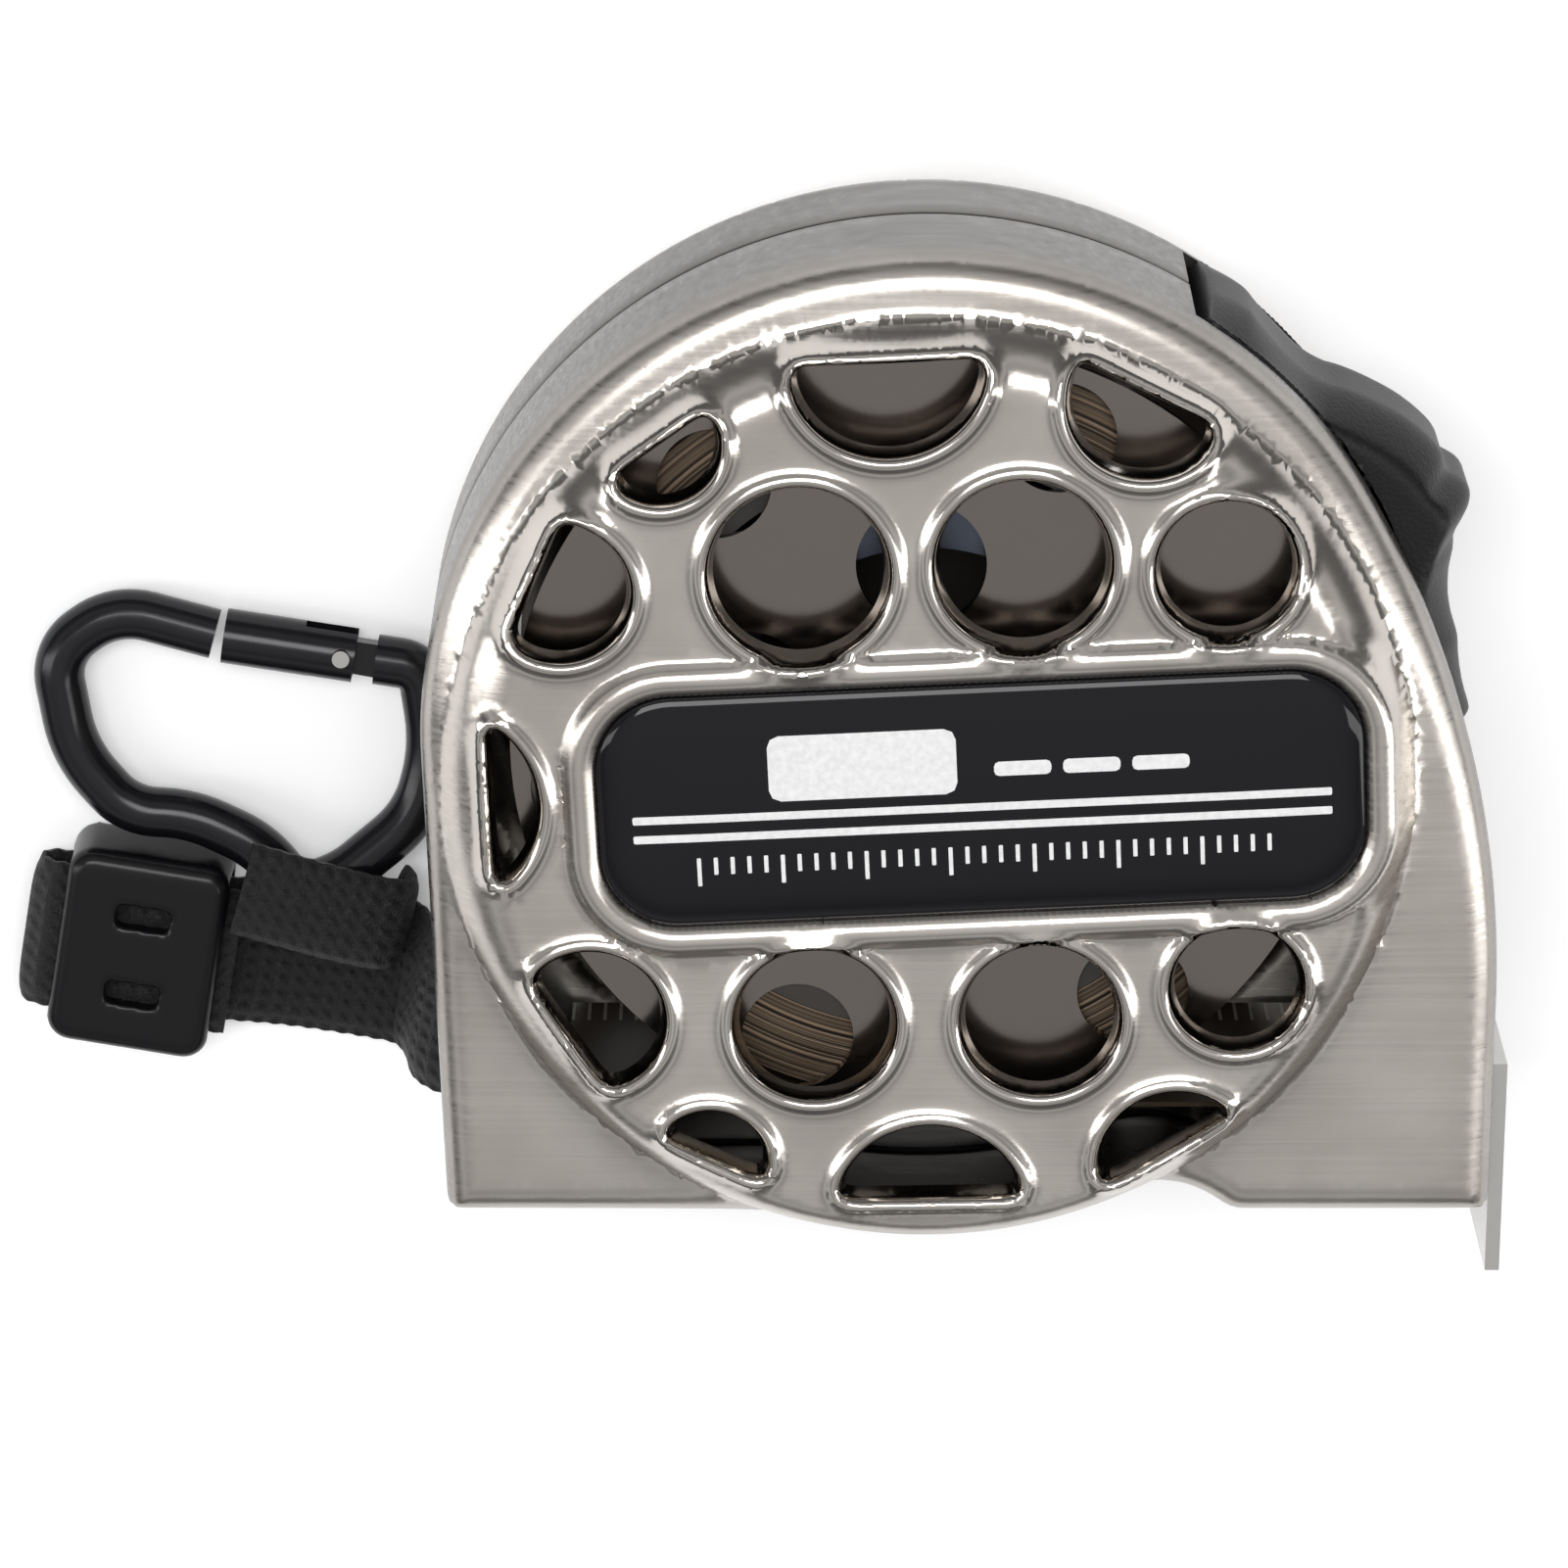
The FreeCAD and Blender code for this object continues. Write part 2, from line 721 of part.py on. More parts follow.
# Its arm reaches down inside the wall and ends in a rubber pad over the guide.
lock_arm = body("lock_arm", "parting")
arm_edge = sketch_in(lock_arm)
outline(
    arm_edge,
    ("arm_inside", "arm_top"),
    [
        ("arm_inside", -8),
        (27.0, "pad_top"),
        (31.2, "pad_top"),
        (31.2, "pad_top + 2"),
        (28.6, -13),
        ("arm_inside + 2.2", -6),
        ("arm_inside + 2.2", "arm_top"),
        ("arm_inside", "arm_top"),
    ],
)
extrude(lock_arm, arm_edge, "lock_arm_width", both=True)

brake_pad = body("brake_pad", "parting")
pad_edge = sketch_in(brake_pad)
box_outline(pad_edge, 27.1, "pad_top - pad_gauge", 31.1, "pad_top")
extrude(brake_pad, pad_edge, "lock_arm_width", both=True)

# ---------------------------------------------------------------- strap


def bends(points):
    """Runs and tangent arcs through a route: steps for outline, and the radii."""
    spots = [Vector(x, y, 0) for x, y in points]
    steps, radii = [], []
    for a, b, c in zip(spots, spots[1:], spots[2:]):
        before, after = (b - a), (c - b)
        turn = before.getAngle(after)
        shorter = min(before.Length, after.Length)
        radius = 0.45 * shorter / math.tan(turn / 2)
        near = b - before.normalize() * (0.45 * shorter)
        far = b + after.normalize() * (0.45 * shorter)
        side = 1 if before.cross(after).z > 0 else -1
        steps += [(near.x, near.y), (far.x, far.y, radius, side)]
        radii.append(round(radius, 2))
    steps.append(points[-1])
    return steps, radii


def sweep(owner, profile, spine):
    made = owner.newObject("PartDesign::AdditivePipe", owner.Label + "_sweep")
    made.Profile = profile
    made.Spine = (spine, [])
    doc.recompute()
    return made


def band(label, x, y, turn, route, width):
    """A length of webbing that stands on its route, drawn as distance out and height."""
    made = body(label)
    made.Placement = Placement(Vector(x, y, 0), Rotation(Vector(0, 0, 1), turn))
    spine = sketch_in(made, "XZ_Plane", name="route")
    steps, radii = bends(route)
    outline(spine, route[0], steps, closed=False)
    section = sketch_in(made, "YZ_Plane", route[0][0], name="section")
    low = "%s - strap_gauge / 2" % route[0][1]
    high = "%s + strap_gauge / 2" % route[0][1]
    box_outline(section, "-%s / 2" % width, low, "%s / 2" % width, high)
    sweep(made, section, spine)
    length = spine.Shape.Length
    ratio = made.Shape.Volume / (length * worth("%s * strap_gauge" % width))
    print("%s: length %.1f, radii %s, volume ratio %.3f" % (label, length, radii, ratio))
    return made


# The strap leaves its pin level, drops beside the wall, runs flat to the slider and folds
# back through it. A narrow loop goes on over the ring.
STRAP_TURN = 170.0
STRAP_FOOT = (-27.4, -24.7)
STRAP_ROUTE = [
    (0.0, 8.3),
    (3.9, 8.1),
    (4.8, 0.95),
    (7.1, 0.65),
    (12.8, 0.75),
    (17.6, 1.9),
    (26.2, 1.95),
    (28.8, 1.7),
    (29.8, 2.9),
    (28.8, 4.1),
    (26.2, 3.9),
    (16.5, 3.95),
]
LOOP_TURN = -16.0
LOOP_FOOT = (-42.9, -16.25)
LOOP_ROUTE = [(0.0, 5.1), (3.0, 5.3), (8.2, 5.25), (10.2, 4.5), (10.6, 3.1), (9.8, 1.9)]
SLIDER_START = 17.4
strap_run = band("strap_run", *STRAP_FOOT, STRAP_TURN, STRAP_ROUTE, "strap_width")
strap_loop = band("strap_loop", *LOOP_FOOT, LOOP_TURN, LOOP_ROUTE, "loop_width")

strap_slider = body("strap_slider")
strap_slider.Placement = Placement(
    Vector(*STRAP_FOOT, 0), Rotation(Vector(0, 0, 1), STRAP_TURN)
)
block = sketch_in(strap_slider)
bind(block, AttachmentOffset__Base__x="%s + slider_length / 2" % SLIDER_START)
rounded_box(block, "slider_length / 2", "slider_width / 2", 1.6)
extrude(strap_slider, block, "slider_height")
slider_top = worth("slider_height")
round_off(strap_slider, 1.0, lambda e: all(abs(v.Z - slider_top) < 1e-6 for v in e.Vertexes))
channel = sketch_in(strap_slider, "YZ_Plane", name="channel")
box_outline(
    channel,
    "-strap_width / 2 - 0.3",
    "channel_low",
    "strap_width / 2 + 0.3",
    "slider_height - 1.2",
)
pocket(strap_slider, channel, 40)
vents = sketch_in(strap_slider, lift="slider_height + 1", name="vents")
for side in (-1, 1):
    box_outline(
        vents,
        "%s + slider_length / 2 - 1.7" % SLIDER_START,
        "%s * slider_width / 5 - 0.75" % side,
        "%s + slider_length / 2 + 1.7" % SLIDER_START,
        "%s * slider_width / 5 + 0.75" % side,
    )
pocket(strap_slider, vents, 2.4, down=True)

strap_pin = cylinder(
    "strap_pin",
    STRAP_FOOT[0],
    "-(foot_drop - gauge) + 0.05",
    STRAP_ROUTE[0][1] - 1.55,
    1.0,
    "foot_drop - gauge - 19.15",
    Vector(0, 1, 0),
)
subparts.append(strap_pin)

# ---------------------------------------------------------------- carabiner

# The ring lies with one side on the strap and the other on the ground, so it is tilted.
CLIP_TILT = -4.4
CLIP_LIFT = 3.05
CLIP_PLACE = Placement(Vector(0, -16.6, CLIP_LIFT), Rotation(Vector(1, 0, 0), CLIP_TILT))
NOSE = (-44.4, 16.3)
HINGE = (-34.3, 14.65)
RING_ROUTE = [
    NOSE,
    (-50.6, 18.0),
    (-54.6, 15.2),
    (-53.5, 8.6),
    (-50.2, 4.7),
    (-46.2, 4.5),
    (-41.9, 2.4),
    (-39.6, -0.6),
    (-36.6, 0.4),
    (-31.9, 4.4),
    (-30.7, 9.0),
    (-31.4, 14.2),
    HINGE,
]


def clip_body(label):
    made = body(label, CLIP_LIFT)
    made.Placement = CLIP_PLACE
    return made


carabiner_ring = clip_body("carabiner_ring")
ring_spine = sketch_in(carabiner_ring, name="route")
ring_steps, ring_radii = bends(RING_ROUTE)
outline(ring_spine, NOSE, ring_steps, closed=False)
print("ring radii", ring_radii)
section = carabiner_ring.newObject("Sketcher::SketchObject", "ring_section")
start, ahead = Vector(*NOSE, 0), Vector(*RING_ROUTE[1], 0) - Vector(*NOSE, 0)
section.Placement = Placement(start, Rotation(Vector(0, 0, 1), ahead))
circle(section, 0, 0, "rod_radius")
sweep(carabiner_ring, section, ring_spine)
tongue = sketch_in(carabiner_ring, lift="-0.6", name="tongue")
outline(
    tongue,
    (-33.4, 13.4),
    [(-33.4, 15.6), (-37.0, 16.2), (-37.6, 14.2), (-33.4, 13.4)],
)
extrude(carabiner_ring, tongue, 1.2)
PIVOT = (-36.4, 15.1)
eye = sketch_in(carabiner_ring, lift="-3", name="eye")
circle(eye, *PIVOT, "gate_pin + running_gap")
pocket(carabiner_ring, eye, 6)

carabiner_gate = clip_body("carabiner_gate")
gate_spine = sketch_in(carabiner_gate, name="route")
GATE_START, GATE_END = (-43.8, 16.2), (-35.6, 14.9)
outline(gate_spine, GATE_START, [GATE_END], closed=False)
section = carabiner_gate.newObject("Sketcher::SketchObject", "gate_section")
start, ahead = Vector(*GATE_START, 0), Vector(*GATE_END, 0) - Vector(*GATE_START, 0)
section.Placement = Placement(start, Rotation(Vector(0, 0, 1), ahead))
circle(section, 0, 0, "gate_radius")
sweep(carabiner_gate, section, gate_spine)

knuckle = sketch_in(carabiner_gate, lift="-0.75", name="knuckle")
box_outline(knuckle, -38.6, 10, -30, 20)
pocket(carabiner_gate, knuckle, 1.5)
eye = sketch_in(carabiner_gate, lift="-3", name="eye")
circle(eye, *PIVOT, "gate_pin + running_gap")
pocket(carabiner_gate, eye, 6)

gate_pin = clip_body("gate_pin")
pin_section = sketch_in(gate_pin, lift="-(gate_radius + 0.1)", name="section")
circle(pin_section, *PIVOT, "gate_pin")
extrude(gate_pin, pin_section, "2 * gate_radius + 0.2")

# ---------------------------------------------------------------- check and write

doc.recompute()
for thing in doc.Objects:
    if {"Invalid", "Error"} & set(thing.State):
        raise RuntimeError(thing.Name + " failed")
os.makedirs("parts", exist_ok=True)
for node in subparts:
    if node.Shape.isNull() or not node.Shape.isValid():
        raise RuntimeError(node.Label + " has no valid shape")
    node.Shape.exportStep(os.path.join("parts", node.Label + ".step"))
    print("%-16s %d solids, %.1f mm3" % (node.Label, len(node.Shape.Solids), node.Shape.Volume))
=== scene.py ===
import math

import bpy
import numpy as np
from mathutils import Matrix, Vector, geometry


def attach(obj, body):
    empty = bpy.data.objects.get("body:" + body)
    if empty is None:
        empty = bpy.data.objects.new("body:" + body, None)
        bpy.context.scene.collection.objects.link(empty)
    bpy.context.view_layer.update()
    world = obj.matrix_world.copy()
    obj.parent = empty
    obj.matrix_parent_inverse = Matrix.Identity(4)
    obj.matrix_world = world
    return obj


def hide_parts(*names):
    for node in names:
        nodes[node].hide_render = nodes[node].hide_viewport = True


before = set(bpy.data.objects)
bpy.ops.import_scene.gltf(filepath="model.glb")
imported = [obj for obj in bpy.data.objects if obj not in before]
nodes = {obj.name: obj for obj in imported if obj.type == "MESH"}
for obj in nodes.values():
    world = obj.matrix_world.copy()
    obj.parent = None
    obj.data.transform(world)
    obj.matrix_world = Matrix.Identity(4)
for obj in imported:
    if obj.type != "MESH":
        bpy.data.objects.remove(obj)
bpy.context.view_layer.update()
bpy.ops.object.select_all(action="DESELECT")

# ---------------------------------------------------------------- camera
# The tape lies on its back on a pale table. The camera stands beyond the top of the case and
# looks down on the labelled face, so the top wall shows as well.

bpy.ops.object.camera_add(
    location=(-0.00855, 0.13382, 0.38767), rotation=(math.radians(-20.5), 0, 0)
)
camera = bpy.context.object
camera.data.sensor_width = 36
camera.data.lens = 148.8
camera.data.clip_start = 0.01
bpy.context.scene.camera = camera

# ---------------------------------------------------------------- strap
# A length of 10 mm black polyester webbing. It is pinned inside the case, comes out of a slot in
# the left wall, drops to the table and runs through the slider, and its narrow end goes on over
# the carabiner. The weave has ribs across its length.


def principled(name):
    """A new material, its node tree and its shader."""
    made = bpy.data.materials.new(name)
    made.use_nodes = True
    return made, made.node_tree, made.node_tree.nodes["Principled BSDF"]


def wire(tree, source, output, target, socket):
    tree.links.new(source.outputs[output], target.inputs[socket])


def smooth_line(points):
    """The points of one smooth spline that these points steer."""
    curve = bpy.data.curves.new("route", "CURVE")
    curve.dimensions = "3D"
    spline = curve.splines.new("NURBS")
    spline.points.add(len(points) - 1)
    for place, point in zip(spline.points, points):
        place.co = (*point, 1)
    spline.order_u = 3
    spline.use_endpoint_u = True
    spline.resolution_u = 16
    holder = bpy.data.objects.new("route", curve)
    bpy.context.scene.collection.objects.link(holder)
    bpy.context.view_layer.update()
    read = bpy.data.meshes.new_from_object(holder)
    line = np.array([v.co for v in read.vertices])
    bpy.data.objects.remove(holder)
    bpy.data.meshes.remove(read)
    return line


def webbing(name, foot, turn, route, width, gauge, step=0.0002, rib=0.0011):
    """A closed ribbon along a route of (distance out, height), with ribs across it."""
    way = np.array([math.cos(math.radians(turn)), math.sin(math.radians(turn)), 0])
    across = np.array([-way[1], way[0], 0])
    steer = [(foot[0] + way[0] * s, foot[1] + way[1] * s, z) for s, z in route]
    line = smooth_line(steer)
    run = np.concatenate([[0], np.cumsum(np.linalg.norm(np.diff(line, axis=0), axis=1))])
    at = np.linspace(0, run[-1], int(run[-1] / step) + 1)
    line = np.stack([np.interp(at, run, line[:, k]) for k in range(3)], axis=1)
    ahead = np.gradient(line, axis=0)
    ahead /= np.linalg.norm(ahead, axis=1)[:, None]
    up = np.cross(ahead, across)
    places = np.linspace(-1, 1, 15)
    verts, coords = [], []
    for i, spot in enumerate(line):
        swell = 0.80 + 0.20 * math.cos(2 * math.pi * at[i] / rib)
        for side in (1, -1):
            for u in places[::side]:
                thick = gauge / 2 * (1 - abs(u) ** 6 * 0.75) * swell
                edge = width / 2 * u * (1 - 0.012 * (1 + math.cos(2 * math.pi * at[i] / rib)))
                verts.append(spot + across * edge + up[i] * thick * side)
                coords.append(((u + 1) / 2 * width, at[i]))
    count = 2 * len(places)
    faces = []
    for i in range(len(line) - 1):
        for k in range(count):
            a, b = i * count + k, i * count + (k + 1) % count
            faces.append((a, b, b + count, a + count))
    last = (len(line) - 1) * count
    faces.append(tuple(range(count))[::-1])
    faces.append(tuple(range(last, last + count)))
    mesh = bpy.data.meshes.new(name)
    mesh.from_pydata([tuple(v) for v in verts], [], faces)
    layer = mesh.uv_layers.new(name="weave")
    for loop in mesh.loops:
        layer.data[loop.index].uv = [1000 * c for c in coords[loop.vertex_index]]
    made = bpy.data.objects.new(name, mesh)
    bpy.context.scene.collection.objects.link(made)
    bpy.context.view_layer.objects.active = made
    bpy.ops.object.select_all(action="DESELECT")
    made.select_set(True)
    bpy.ops.object.mode_set(mode="EDIT")
    bpy.ops.mesh.select_all(action="SELECT")
    bpy.ops.mesh.normals_make_consistent(inside=False)
    bpy.ops.object.mode_set(mode="OBJECT")
    bpy.ops.object.shade_smooth_by_angle(angle=math.radians(50))
    return made


STRAP_ROUTE = [
    (0.0, 0.0083),
    (0.0039, 0.0081),
    (0.0048, 0.00095),
    (0.0071, 0.00065),
    (0.0128, 0.00075),
    (0.0176, 0.0019),
    (0.0262, 0.00195),
    (0.0288, 0.0017),
    (0.0298, 0.0029),
    (0.0288, 0.0041),
    (0.0262, 0.0039),
    (0.0165, 0.00395),
]
LOOP_ROUTE = [
    (0.0, 0.0051),
    (0.003, 0.0053),
    (0.0082, 0.00525),
    (0.0102, 0.0045),
    (0.0106, 0.0031),
    (0.0098, 0.0019),
]
STRAP_GAUGE = 0.0011
strap = webbing("strap", (-0.0274, -0.0247), 170, STRAP_ROUTE, 0.0100, STRAP_GAUGE)
strap_end = webbing("strap_end", (-0.0429, -0.01625), -16, LOOP_ROUTE, 0.0064, STRAP_GAUGE)

# A wave texture's scale that gives one band in a unit of the weave's map, which is a millimetre.
ONE_BAND = 0.314

webbing_finish, tree, shader = principled("black_webbing")
shader.inputs["Base Color"].default_value = (0.004, 0.004, 0.005, 1)
shader.inputs["Roughness"].default_value = 0.5
shader.inputs["Sheen Weight"].default_value = 0.06
shader.inputs["Sheen Roughness"].default_value = 0.5
uv = tree.nodes.new("ShaderNodeUVMap")
uv.uv_map = "weave"
ribs = tree.nodes.new("ShaderNodeTexWave")
ribs.bands_direction = "X"
ribs.inputs["Scale"].default_value = ONE_BAND * 0.95
ribs.inputs["Distortion"].default_value = 0.4
picks = tree.nodes.new("ShaderNodeTexWave")
picks.bands_direction = "Y"
picks.inputs["Scale"].default_value = ONE_BAND * 0.91
picks.inputs["Distortion"].default_value = 1.2
fuzz = tree.nodes.new("ShaderNodeTexNoise")
fuzz.inputs["Scale"].default_value = 9
both = tree.nodes.new("ShaderNodeMath")
both.operation = "MULTIPLY"
more = tree.nodes.new("ShaderNodeMath")
more.operation = "MULTIPLY_ADD"
more.inputs[1].default_value = 0.5
bump = tree.nodes.new("ShaderNodeBump")
bump.inputs["Strength"].default_value = 1.0
bump.inputs["Distance"].default_value = 0.00045
for texture in (ribs, picks, fuzz):
    wire(tree, uv, "UV", texture, "Vector")
wire(tree, ribs, "Fac", both, 0)
wire(tree, picks, "Fac", both, 1)
wire(tree, fuzz, "Fac", more, 0)
wire(tree, both, "Value", more, 2)
wire(tree, more, "Value", bump, "Height")
wire(tree, bump, "Normal", shader, "Normal")

strap.data.materials.append(webbing_finish)
strap_end.data.materials.append(webbing_finish)
for piece, node in ((strap, "strap_run"), (strap_end, "strap_loop")):
    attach(piece, "case")
    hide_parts(node)

# ---------------------------------------------------------------- pressed case halves
# Two halves drawn from thin stainless sheet. Each has a raised round face with windows whose
# rims are rolled into polished beads, a soft shoulder, and flat corners at both feet. The sheet
# is brushed all over and the beads are bright.

CASE_EDGE = [
    (-29.3, -30.7),
    (-6.10, -30.7),
    (11.47, -29.12, 0.0, 0.0),
    (18.92, -30.7, 14.0, -35.54),
    (34.9, -30.7),
    (34.9, -17.0),
    (26.42, 15.04, -29.86, -17.0),
    (0.0, 30.4, 0.0, 0.0),
    (-30.4, 0.0, 0.0, 0.0),
    (-29.3, -30.7),
]
ROUND_WINDOWS = [
    (-7.7, 12.0, 5.05),
    (5.5, 12.6, 4.9),
    (17.5, 12.3, 3.9),
    (-6.7, -16.6, 4.55),
    (6.9, -16.3, 4.5),
    (18.7, -14.2, 3.7),
]
MOON_WINDOWS = [
    (-2.4, 22.0, 93, 11.0, 5.0),
    (11.6, 20.6, 63, 8.8, 4.4),
    (-14.8, 18.4, 126, 6.6, 3.0),
    (-20.6, 10.3, 157, 7.4, 5.4),
    (-24.6, -2.5, 182, 9.8, 2.4),
    (-19.0, -15.6, 213, 8.0, 5.6),
    (-12.2, -24.0, 245, 6.4, 2.6),
    (0.3, -25.6, 271, 10.8, 4.2),
    (13.8, -23.3, 301, 8.6, 3.2),
]
LABEL_CENTRE, LABEL_HALF, LABEL_CORNER, LABEL_TURN = (3.2, -2.0), (22.9, 7.3), 4.6, 2.7
PARTING = 13.6
SHEET_GAUGE = 0.0006
BEAD_RISE, BEAD_CENTRE, BEAD_SPREAD = 0.40, 0.78, 0.44
LIP_DROP, LIP_WIDTH = 1.25, 0.5
FRAME_RISE, FRAME_CENTRE, FRAME_SPREAD, SEAT_DROP = 0.72, 0.95, 1.05, 0.3


def spread_along(points, spacing, closed=True):
    """The same line with its points evenly spaced."""
    line = np.array(points + points[:1] if closed else points, float)
    run = np.concatenate([[0], np.cumsum(np.linalg.norm(np.diff(line, axis=0), axis=1))])
    count = max(12, int(round(run[-1] / spacing)))
    at = np.linspace(0, run[-1], count + 1)[:-1] if closed else np.linspace(0, run[-1], count)
    return np.stack([np.interp(at, run, line[:, k]) for k in range(2)], axis=1)


def arc_points(centre, start, end, count=40):
    """Points along the shorter arc from start to end, without start."""
    a = math.atan2(start[1] - centre[1], start[0] - centre[0])
    b = math.atan2(end[1] - centre[1], end[0] - centre[0])
    turn = (b - a + math.pi) % (2 * math.pi) - math.pi
    radius = math.dist(centre, start)
    angles = [a + turn * i / count for i in range(1, count + 1)]
    return [(centre[0] + radius * math.cos(t), centre[1] + radius * math.sin(t)) for t in angles]


def relaxed(loop, rounds):
    for _ in range(rounds):
        loop = 0.5 * loop + 0.25 * (np.roll(loop, 1, axis=0) + np.roll(loop, -1, axis=0))
    return loop


def case_loop(spacing=0.45):
    """The case's edge seen from the front, with its corners eased."""
    points = [CASE_EDGE[0]]
    for step in CASE_EDGE[1:]:
        points += [step[:2]] if len(step) == 2 else arc_points(step[2:], points[-1], step[:2])
    loop = spread_along(points[:-1], spacing)
    return relaxed(loop, 3)


def moon_loop(x, y, turn, length, depth, spacing=0.45):
    """A window with one flat side towards the case's edge and a round side inwards."""
    out = np.array([math.cos(math.radians(turn)), math.sin(math.radians(turn))])
    along = np.array([-out[1], out[0]])
    middle = np.array([x, y])
    bulge = (length * length / 4 + depth * depth) / (2 * depth)
    centre = middle - out * depth / 2 + out * bulge
    half = math.asin(min(1, length / 2 / bulge))
    if depth > length / 2:
        half = math.pi - half
    points = []
    for i in range(61):
        swing = half * (1 - i / 30)
        inwards, sideways = bulge * math.cos(swing), bulge * math.sin(swing)
        points.append(tuple(centre - out * inwards + along * sideways))
    loop = spread_along(points, spacing * 0.7)
    return relaxed(loop, 7)


def to_loop(points, loop):
    """How far each point is from a closed loop."""
    best = np.full(len(points), np.inf)
    for a, b in zip(loop, np.roll(loop, -1, axis=0)):
        d = b - a
        t = np.clip(((points - a) @ d) / max(d @ d, 1e-12), 0, 1)
        best = np.minimum(best, np.linalg.norm(points - a - t[:, None] * d, axis=1))
    return best


def inside_of(points, loop):
    inside = np.zeros(len(points), bool)
    for a, b in zip(loop, np.roll(loop, -1, axis=0)):
        crosses = (a[1] > points[:, 1]) != (b[1] > points[:, 1])
        if crosses.any():
            where = (b[0] - a[0]) * (points[:, 1] - a[1]) / (b[1] - a[1] + 1e-15) + a[0]
            inside ^= crosses & (points[:, 0] < where)
    return inside


def moved_out(loop, distance):
    """The loop pushed outwards, for a loop that runs either way round."""
    ahead = np.roll(loop, -1, axis=0) - np.roll(loop, 1, axis=0)
    ahead /= np.linalg.norm(ahead, axis=1)[:, None]
    x, y = loop[:, 0], loop[:, 1]
    area = float((x * np.roll(y, -1) - y * np.roll(x, -1)).sum())
    out = np.stack([ahead[:, 1], -ahead[:, 0]], axis=1) * (1 if area > 0 else -1)
    return loop + out * distance


def label_distance(points):
    """Signed distance to the label plate's edge, and is less than 0 inside it."""
    turn = math.radians(LABEL_TURN)
    local = points - np.array(LABEL_CENTRE)
    x = local[:, 0] * math.cos(turn) + local[:, 1] * math.sin(turn)
    y = -local[:, 0] * math.sin(turn) + local[:, 1] * math.cos(turn)
    qx = np.abs(x) - (LABEL_HALF[0] - LABEL_CORNER)
    qy = np.abs(y) - (LABEL_HALF[1] - LABEL_CORNER)
    outside = np.hypot(np.maximum(qx, 0), np.maximum(qy, 0))
    return outside + np.minimum(np.maximum(qx, qy), 0) - LABEL_CORNER


def label_loop(grow, spacing=0.5):
    """The label plate's edge, grown by a distance."""
    half = (LABEL_HALF[0] + grow, LABEL_HALF[1] + grow)
    corner = max(LABEL_CORNER + grow, 0.1)
    points = []
    for sx, sy, start in ((1, 1, 0), (-1, 1, 90), (-1, -1, 180), (1, -1, 270)):
        for i in range(13):
            a = math.radians(start + 7.5 * i)
            points.append(
                (
                    sx * (half[0] - corner) + corner * math.cos(a),
                    sy * (half[1] - corner) + corner * math.sin(a),
                )
            )
    loop = spread_along(points, spacing)
    turn = math.radians(LABEL_TURN)
    spin = np.array([[math.cos(turn), math.sin(turn)], [-math.sin(turn), math.cos(turn)]])
    return loop @ spin + np.array(LABEL_CENTRE)


